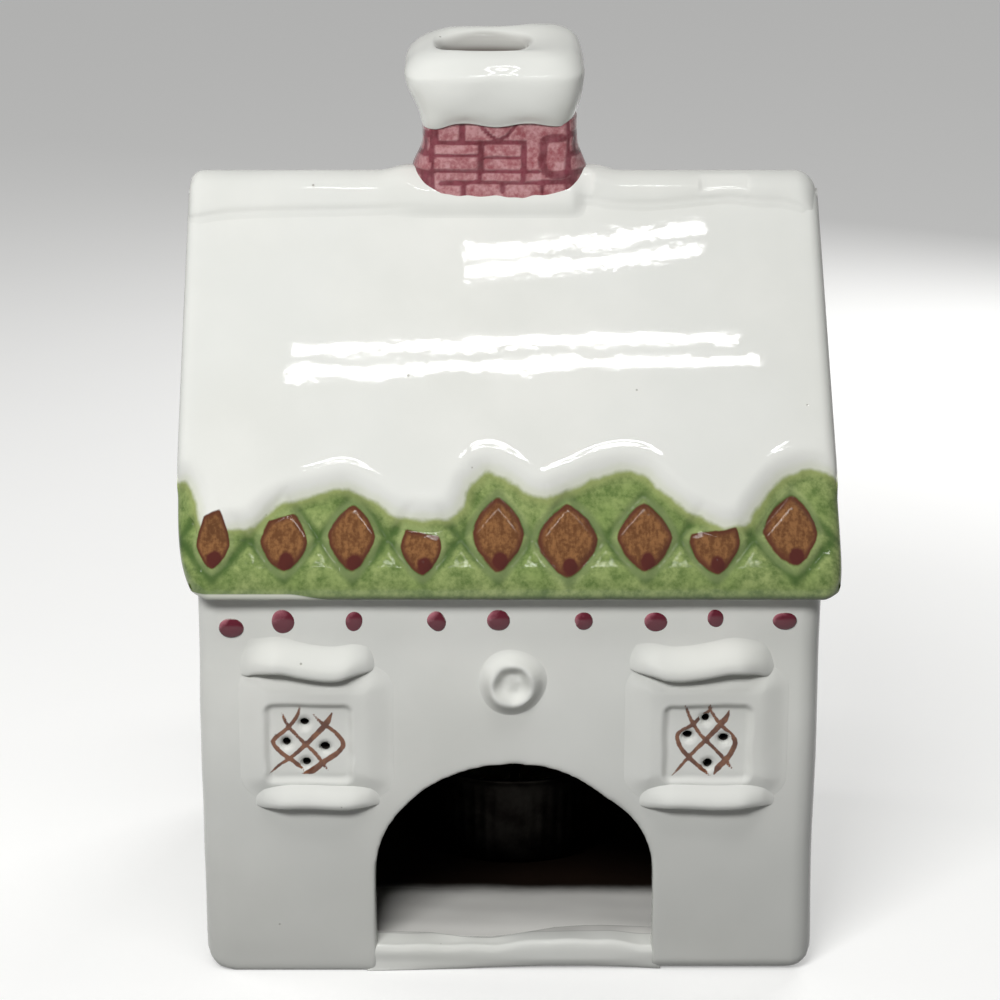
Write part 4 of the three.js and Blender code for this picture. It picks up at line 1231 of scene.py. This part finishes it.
back_mortar = courses(-14, 12, -0.2, 0, 2.9, 0.42, back_rows)
spots = places_of(stack.data)
aside = np.abs(spots[:, 0] - STACK_MIDDLE) > 11.2
in_front, behind = spots[:, 1] < -4, spots[:, 1] > 4
mortar_and_edge_shade = np.zeros(len(spots))
for rows, wanted, plan in (
    (front_mortar_and_edge_shade, in_front & ~aside, spots[:, [0, 2]]),
    (back_mortar, behind & ~aside, spots[:, [0, 2]]),
    (side_mortar, aside, spots[:, [1, 2]]),
):
    for half, *line in rows:
        away, _ = along_line(plan, line)
        mortar_and_edge_shade = np.where(wanted, np.maximum(mortar_and_edge_shade, soft_step(away, half + 0.5, half * 0.3)), mortar_and_edge_shade)
mark(stack, "mortar_and_edge_shade", mortar_and_edge_shade)
dark_curl = [
    (8.6, 128.7), (7.0, 128.7), (5.6, 128.3), (5.5, 126.7), (5.3, 124.8), (6.1, 123.2), (7.8, 122.7),
    (8.9, 122.9),
]
away, _ = along_line(spots[:, [0, 2]], smooth_line(dark_curl, 3))
curl = np.where(in_front, soft_step(away, 1.15, 0.35), 0)
# The sides are painted deeper crimson, as painted shade.
mark(stack, "blotch_and_side_shade", np.where(aside, 0.35 + 0.3 * wobble(spots, 6, 34), curl))


# The snow on the chimney: a pillow of clay pushed over the stack, flat in front, with the
# flue's hole pierced through it off centre.
cap_glaze, place = start_finish("white_glaze_on_cap", {"IOR": 1.5})
colour, roughness, ripple = glaze_on_clay(place)
x, y, z = in_mm(place)
over_x, over_y = (x - FLUE_MIDDLE) * (1 / 7.7), (y - 1.6) * (1 / 5.3)
mouth = (over_x * over_x + over_y * over_y).rise(1.15, 0.8)
# Painted shade and soot: the flue's mouth is painted grey at its rim and near black further in.
mouth_soot_and_shade = mouth * (z.rise(142.3, 140.6) * 0.55 + 0.45)
end_finish(cap_glaze, ripple, Base_Color=mouth_soot_and_shade.over(colour, (0.10, 0.08, 0.065, 1)), Roughness=roughness)


def cap_loops():
    turns = np.linspace(0, 2 * math.pi, 200, endpoint=False)
    out_x, out_y = squircle(turns, 4.4)
    in_x, in_y = squircle(turns, 2.5)
    # Each ring: height, middle across, half its width, and its front and back in depth.
    outer = [
        (131.4, -1.9, 10.6, -4.9, 7.4), (130.9, -1.9, 11.6, -5.8, 8.4), (131.3, -1.9, 12.0, -6.2, 8.8),
        (132.6, -1.9, 12.5, -7.2, 9.4), (134.6, -2.0, 13.4, -7.9, 10.2), (137.0, -2.3, 14.2, -8.3, 11.2),
        (139.7, -2.35, 14.4, -8.1, 11.9), (141.7, -2.4, 13.9, -7.2, 11.6),
        (142.9, -2.3, 12.8, -6.2, 10.7), (143.5, -2.2, 11.4, -5.2, 9.4), (143.75, -2.7, 9.6, -4.3, 8.0),
    ]
    inner = [
        (143.4, -4.0, 7.7, -3.7, 6.9), (142.6, -4.1, 7.0, -3.2, 6.2), (141.6, -4.1, 6.65, -3.1, 5.9),
        (138, -4.0, 6.55, -2.9, 5.7), (131.4, -4.0, 6.5, -2.85, 5.65),
    ]
    rows = smooth_line(outer + inner, 5)
    blend = np.clip((np.arange(len(rows)) / 5 - 9.4) / 1.8, 0, 1)[:, None]
    ring_x = out_x * (1 - blend) + in_x * blend
    ring_y = out_y * (1 - blend) + in_y * blend
    up, middle, half, near, far = (rows[:, column : column + 1] for column in range(5))
    x = middle + half * ring_x
    y = (near + far) / 2 + (far - near) / 2 * ring_y
    z = up + 0 * x
    hump = 0.7 * np.exp(-(((x - 6) / 4.5) ** 2) - ((y - 7) / 4) ** 2)
    lift = 0.17 * (y - 3.5) + hump - soft_step(-x, 8, 17)
    lift -= 0.25 * soft_step(x, 5, 12) * soft_step(y, 2, -6)
    loops = np.stack([x, y, z + soft_step(z, 137, 142.5) * lift], axis=-1)
    outside = (np.arange(len(rows)) < 50)[:, None]
    bumps = (0.16 * wobble(loops, 14, 36) + 0.05 * wobble(loops, 6, 37)) * outside
    loops[..., 0] += bumps * ring_x
    loops[..., 1] += bumps * ring_y
    hem = soft_step(z, 133.4, 131.2) * outside
    loops[..., 2] += hem * (0.3 * np.cos((x + 7) * 0.62) - 0.5 * soft_step(-x, 8.5, 12)) * (y < 0)
    loops[..., 2] += hem * 0.3 * np.sin(y * 0.8 + x * 0.3) * (y >= 0)
    loops[..., 2] = np.minimum(loops[..., 2], 145.0)
    return loops


bm = skin_over(cap_loops(), ring=True)
add_piece("glazed_chimney_snow_cap", bm, cap_glaze, ["chimney_snow_cap"])


# The tealight: wax burnt low in a thin tin cup with a rolled rim and fine upright flutes. The
# wick stands in a pressed tin foot. The tin is painted near black, as painted shade in the dark room.
LIGHT_PLACE = (0.9, 12.0, 4.3)


def turned_on_axis(profile, steps, closed):
    """A body turned on its own upright axis from (radius, height) points in mm."""
    bm = bmesh.new()
    verts = [bm.verts.new((radius * MM, 0, up * MM)) for radius, up in profile]
    nexts = verts[1:] + verts[:1] if closed else verts[1:]
    edges = [bm.edges.new(pair) for pair in zip(verts, nexts)]
    bmesh.ops.spin(bm, geom=verts + edges, axis=(0, 0, 1), angle=2 * math.pi, steps=steps, use_merge=True)
    bmesh.ops.remove_doubles(bm, verts=bm.verts[:], dist=1e-7)
    bmesh.ops.recalc_face_normals(bm, faces=bm.faces[:])
    smooth(bm)
    return bm


def set_down(bm):
    bmesh.ops.translate(bm, vec=Vector(LIGHT_PLACE) * MM, verts=bm.verts[:])
    return bm


dark_tin, place = start_finish("shade_darkened_tin", {"Metallic": 1.0, "IOR": 1.5})
grime = noise(place, 5, 4, 0.6)
scratch = noise(place.add("ShaderNodeMapping", inputs={0: place, 3: (1, 1, 0.1)}), 0.5, 2)
# Painted shade: the tin's colour is near black.
tin = grime.rise(0.3, 0.7).over((0.006, 0.005, 0.0045, 1), (0.022, 0.020, 0.018, 1))
worn = grime * 0.35 + scratch * 0.1 + 0.2
end_finish(dark_tin, grime * 0.00002 + scratch * 0.000006, Base_Color=tin, Roughness=worn)
cup_profile = [
    (0, 0), (12, 0), (17.2, 0), (17.75, 0.15), (18.0, 0.7), (18.1, 1.6), (18.25, 5), (18.45, 10),
    (18.6, 14.0), (18.75, 14.7), (18.98, 15.05), (18.98, 15.35), (18.75, 15.5), (18.4, 15.4),
    (18.25, 15.0), (18.15, 14), (18.0, 10), (17.8, 5), (17.6, 1.3), (17.2, 0.6), (12, 0.5), (0, 0.5),
]
bm = turned_on_axis(cup_profile, 360, closed=False)
for vert in bm.verts:
    radius, turn, up = math.hypot(vert.co.x, vert.co.y), math.atan2(vert.co.y, vert.co.x), vert.co.z / MM
    if radius > 17.5 * MM:
        fluted = float(soft_step(up, 1, 3) * soft_step(up, 14.4, 13))
        flute = 0.003 * (1 + math.cos(60 * turn)) * fluted
        vert.co.x *= 1 - flute
        vert.co.y *= 1 - flute
add_piece("tin_cup", set_down(bm), dark_tin, ["tealight_cup"], body="tealight")

wax, place = start_finish(
    "burnt_wax", {"Roughness": 0.4, "Subsurface Weight": 0.25, "Subsurface Scale": 0.002}
)
crumbs = noise(place, 2.2, 4, 0.6)
wax_colour = noise(place, 8, 3).rise(0.3, 0.7).over((0.62, 0.56, 0.44, 1), (0.78, 0.74, 0.64, 1))
wax_colour = crumbs.rise(0.63, 0.70).over(wax_colour, (0.10, 0.07, 0.05, 1))
end_finish(wax, noise(place, 4, 3) * 0.0003, Base_Color=wax_colour)
wax_profile = [
    (2.25, 1.7), (2.25, 5.5), (2.6, 5.3), (3.6, 5.15), (7, 5.1), (11, 5.25), (14.5, 5.5), (16.3, 5.85),
    (17.2, 6.2), (17.3, 5.9), (17.15, 1.2), (16.8, 0.85), (6.6, 0.85), (6.5, 1.6),
]
bm = set_down(turned_on_axis(wax_profile, 96, closed=True))
add_piece("low_wax", bm, wax, ["tealight_wax"], body="tealight")

holder_profile = [
    (1.3, 0.85), (6.0, 0.85), (6.2, 0.95), (6.2, 1.15), (6.0, 1.25), (2.6, 1.35), (2.05, 1.6), (1.9, 2.1),
    (1.85, 4.2), (1.75, 4.4), (1.45, 4.4), (1.3, 4.2),
]
bm = set_down(turned_on_axis(holder_profile, 48, closed=True))
add_piece("tin_wick_foot", bm, dark_tin, ["tealight_wick_holder"], body="tealight")

cotton, place = start_finish("charred_cotton", {"Roughness": 0.95, "Specular IOR Level": 0.15})
fluff = noise(place, 0.35, 3)
charred = (in_mm(place)[2] + fluff * 2).rise(9.0, 12.5)
cotton_colour = charred.over((0.42, 0.37, 0.29, 1), (0.012, 0.010, 0.009, 1))
cotton_colour = (fluff.rise(0.3, 0.7) * 0.3).over(cotton_colour, (0.05, 0.04, 0.03, 1))
end_finish(cotton, fluff * 0.00012, Base_Color=cotton_colour)
wick_line = smooth_line([(0, 0, 1.0), (0, 0, 4), (0.1, 0, 8), (0.8, 0.3, 10.5), (1.9, 0.75, 11.7)], 14)
turns = np.linspace(0, 2 * math.pi, 24, endpoint=False)
wick_loops = []
for i, spot in enumerate(wick_line):
    ahead = wick_line[min(i + 1, len(wick_line) - 1)] - wick_line[max(i - 1, 0)]
    ahead /= np.linalg.norm(ahead)
    aside = np.cross(ahead, (0, 1, 0))
    aside /= np.linalg.norm(aside)
    level = np.cross(aside, ahead)
    radius = 0.78 * (0.86 + 0.14 * np.abs(np.sin(1.5 * turns + i * 0.42)))
    radius *= 1 - 0.35 * (i > len(wick_line) - 3)
    strand = np.cos(turns)[:, None] * aside + np.sin(turns)[:, None] * level
    wick_loops.append(spot + radius[:, None] * strand)
bm = set_down(skin_over(np.array(wick_loops)))
add_piece("cotton_wick", bm, cotton, ["tealight_wick"], body="tealight")
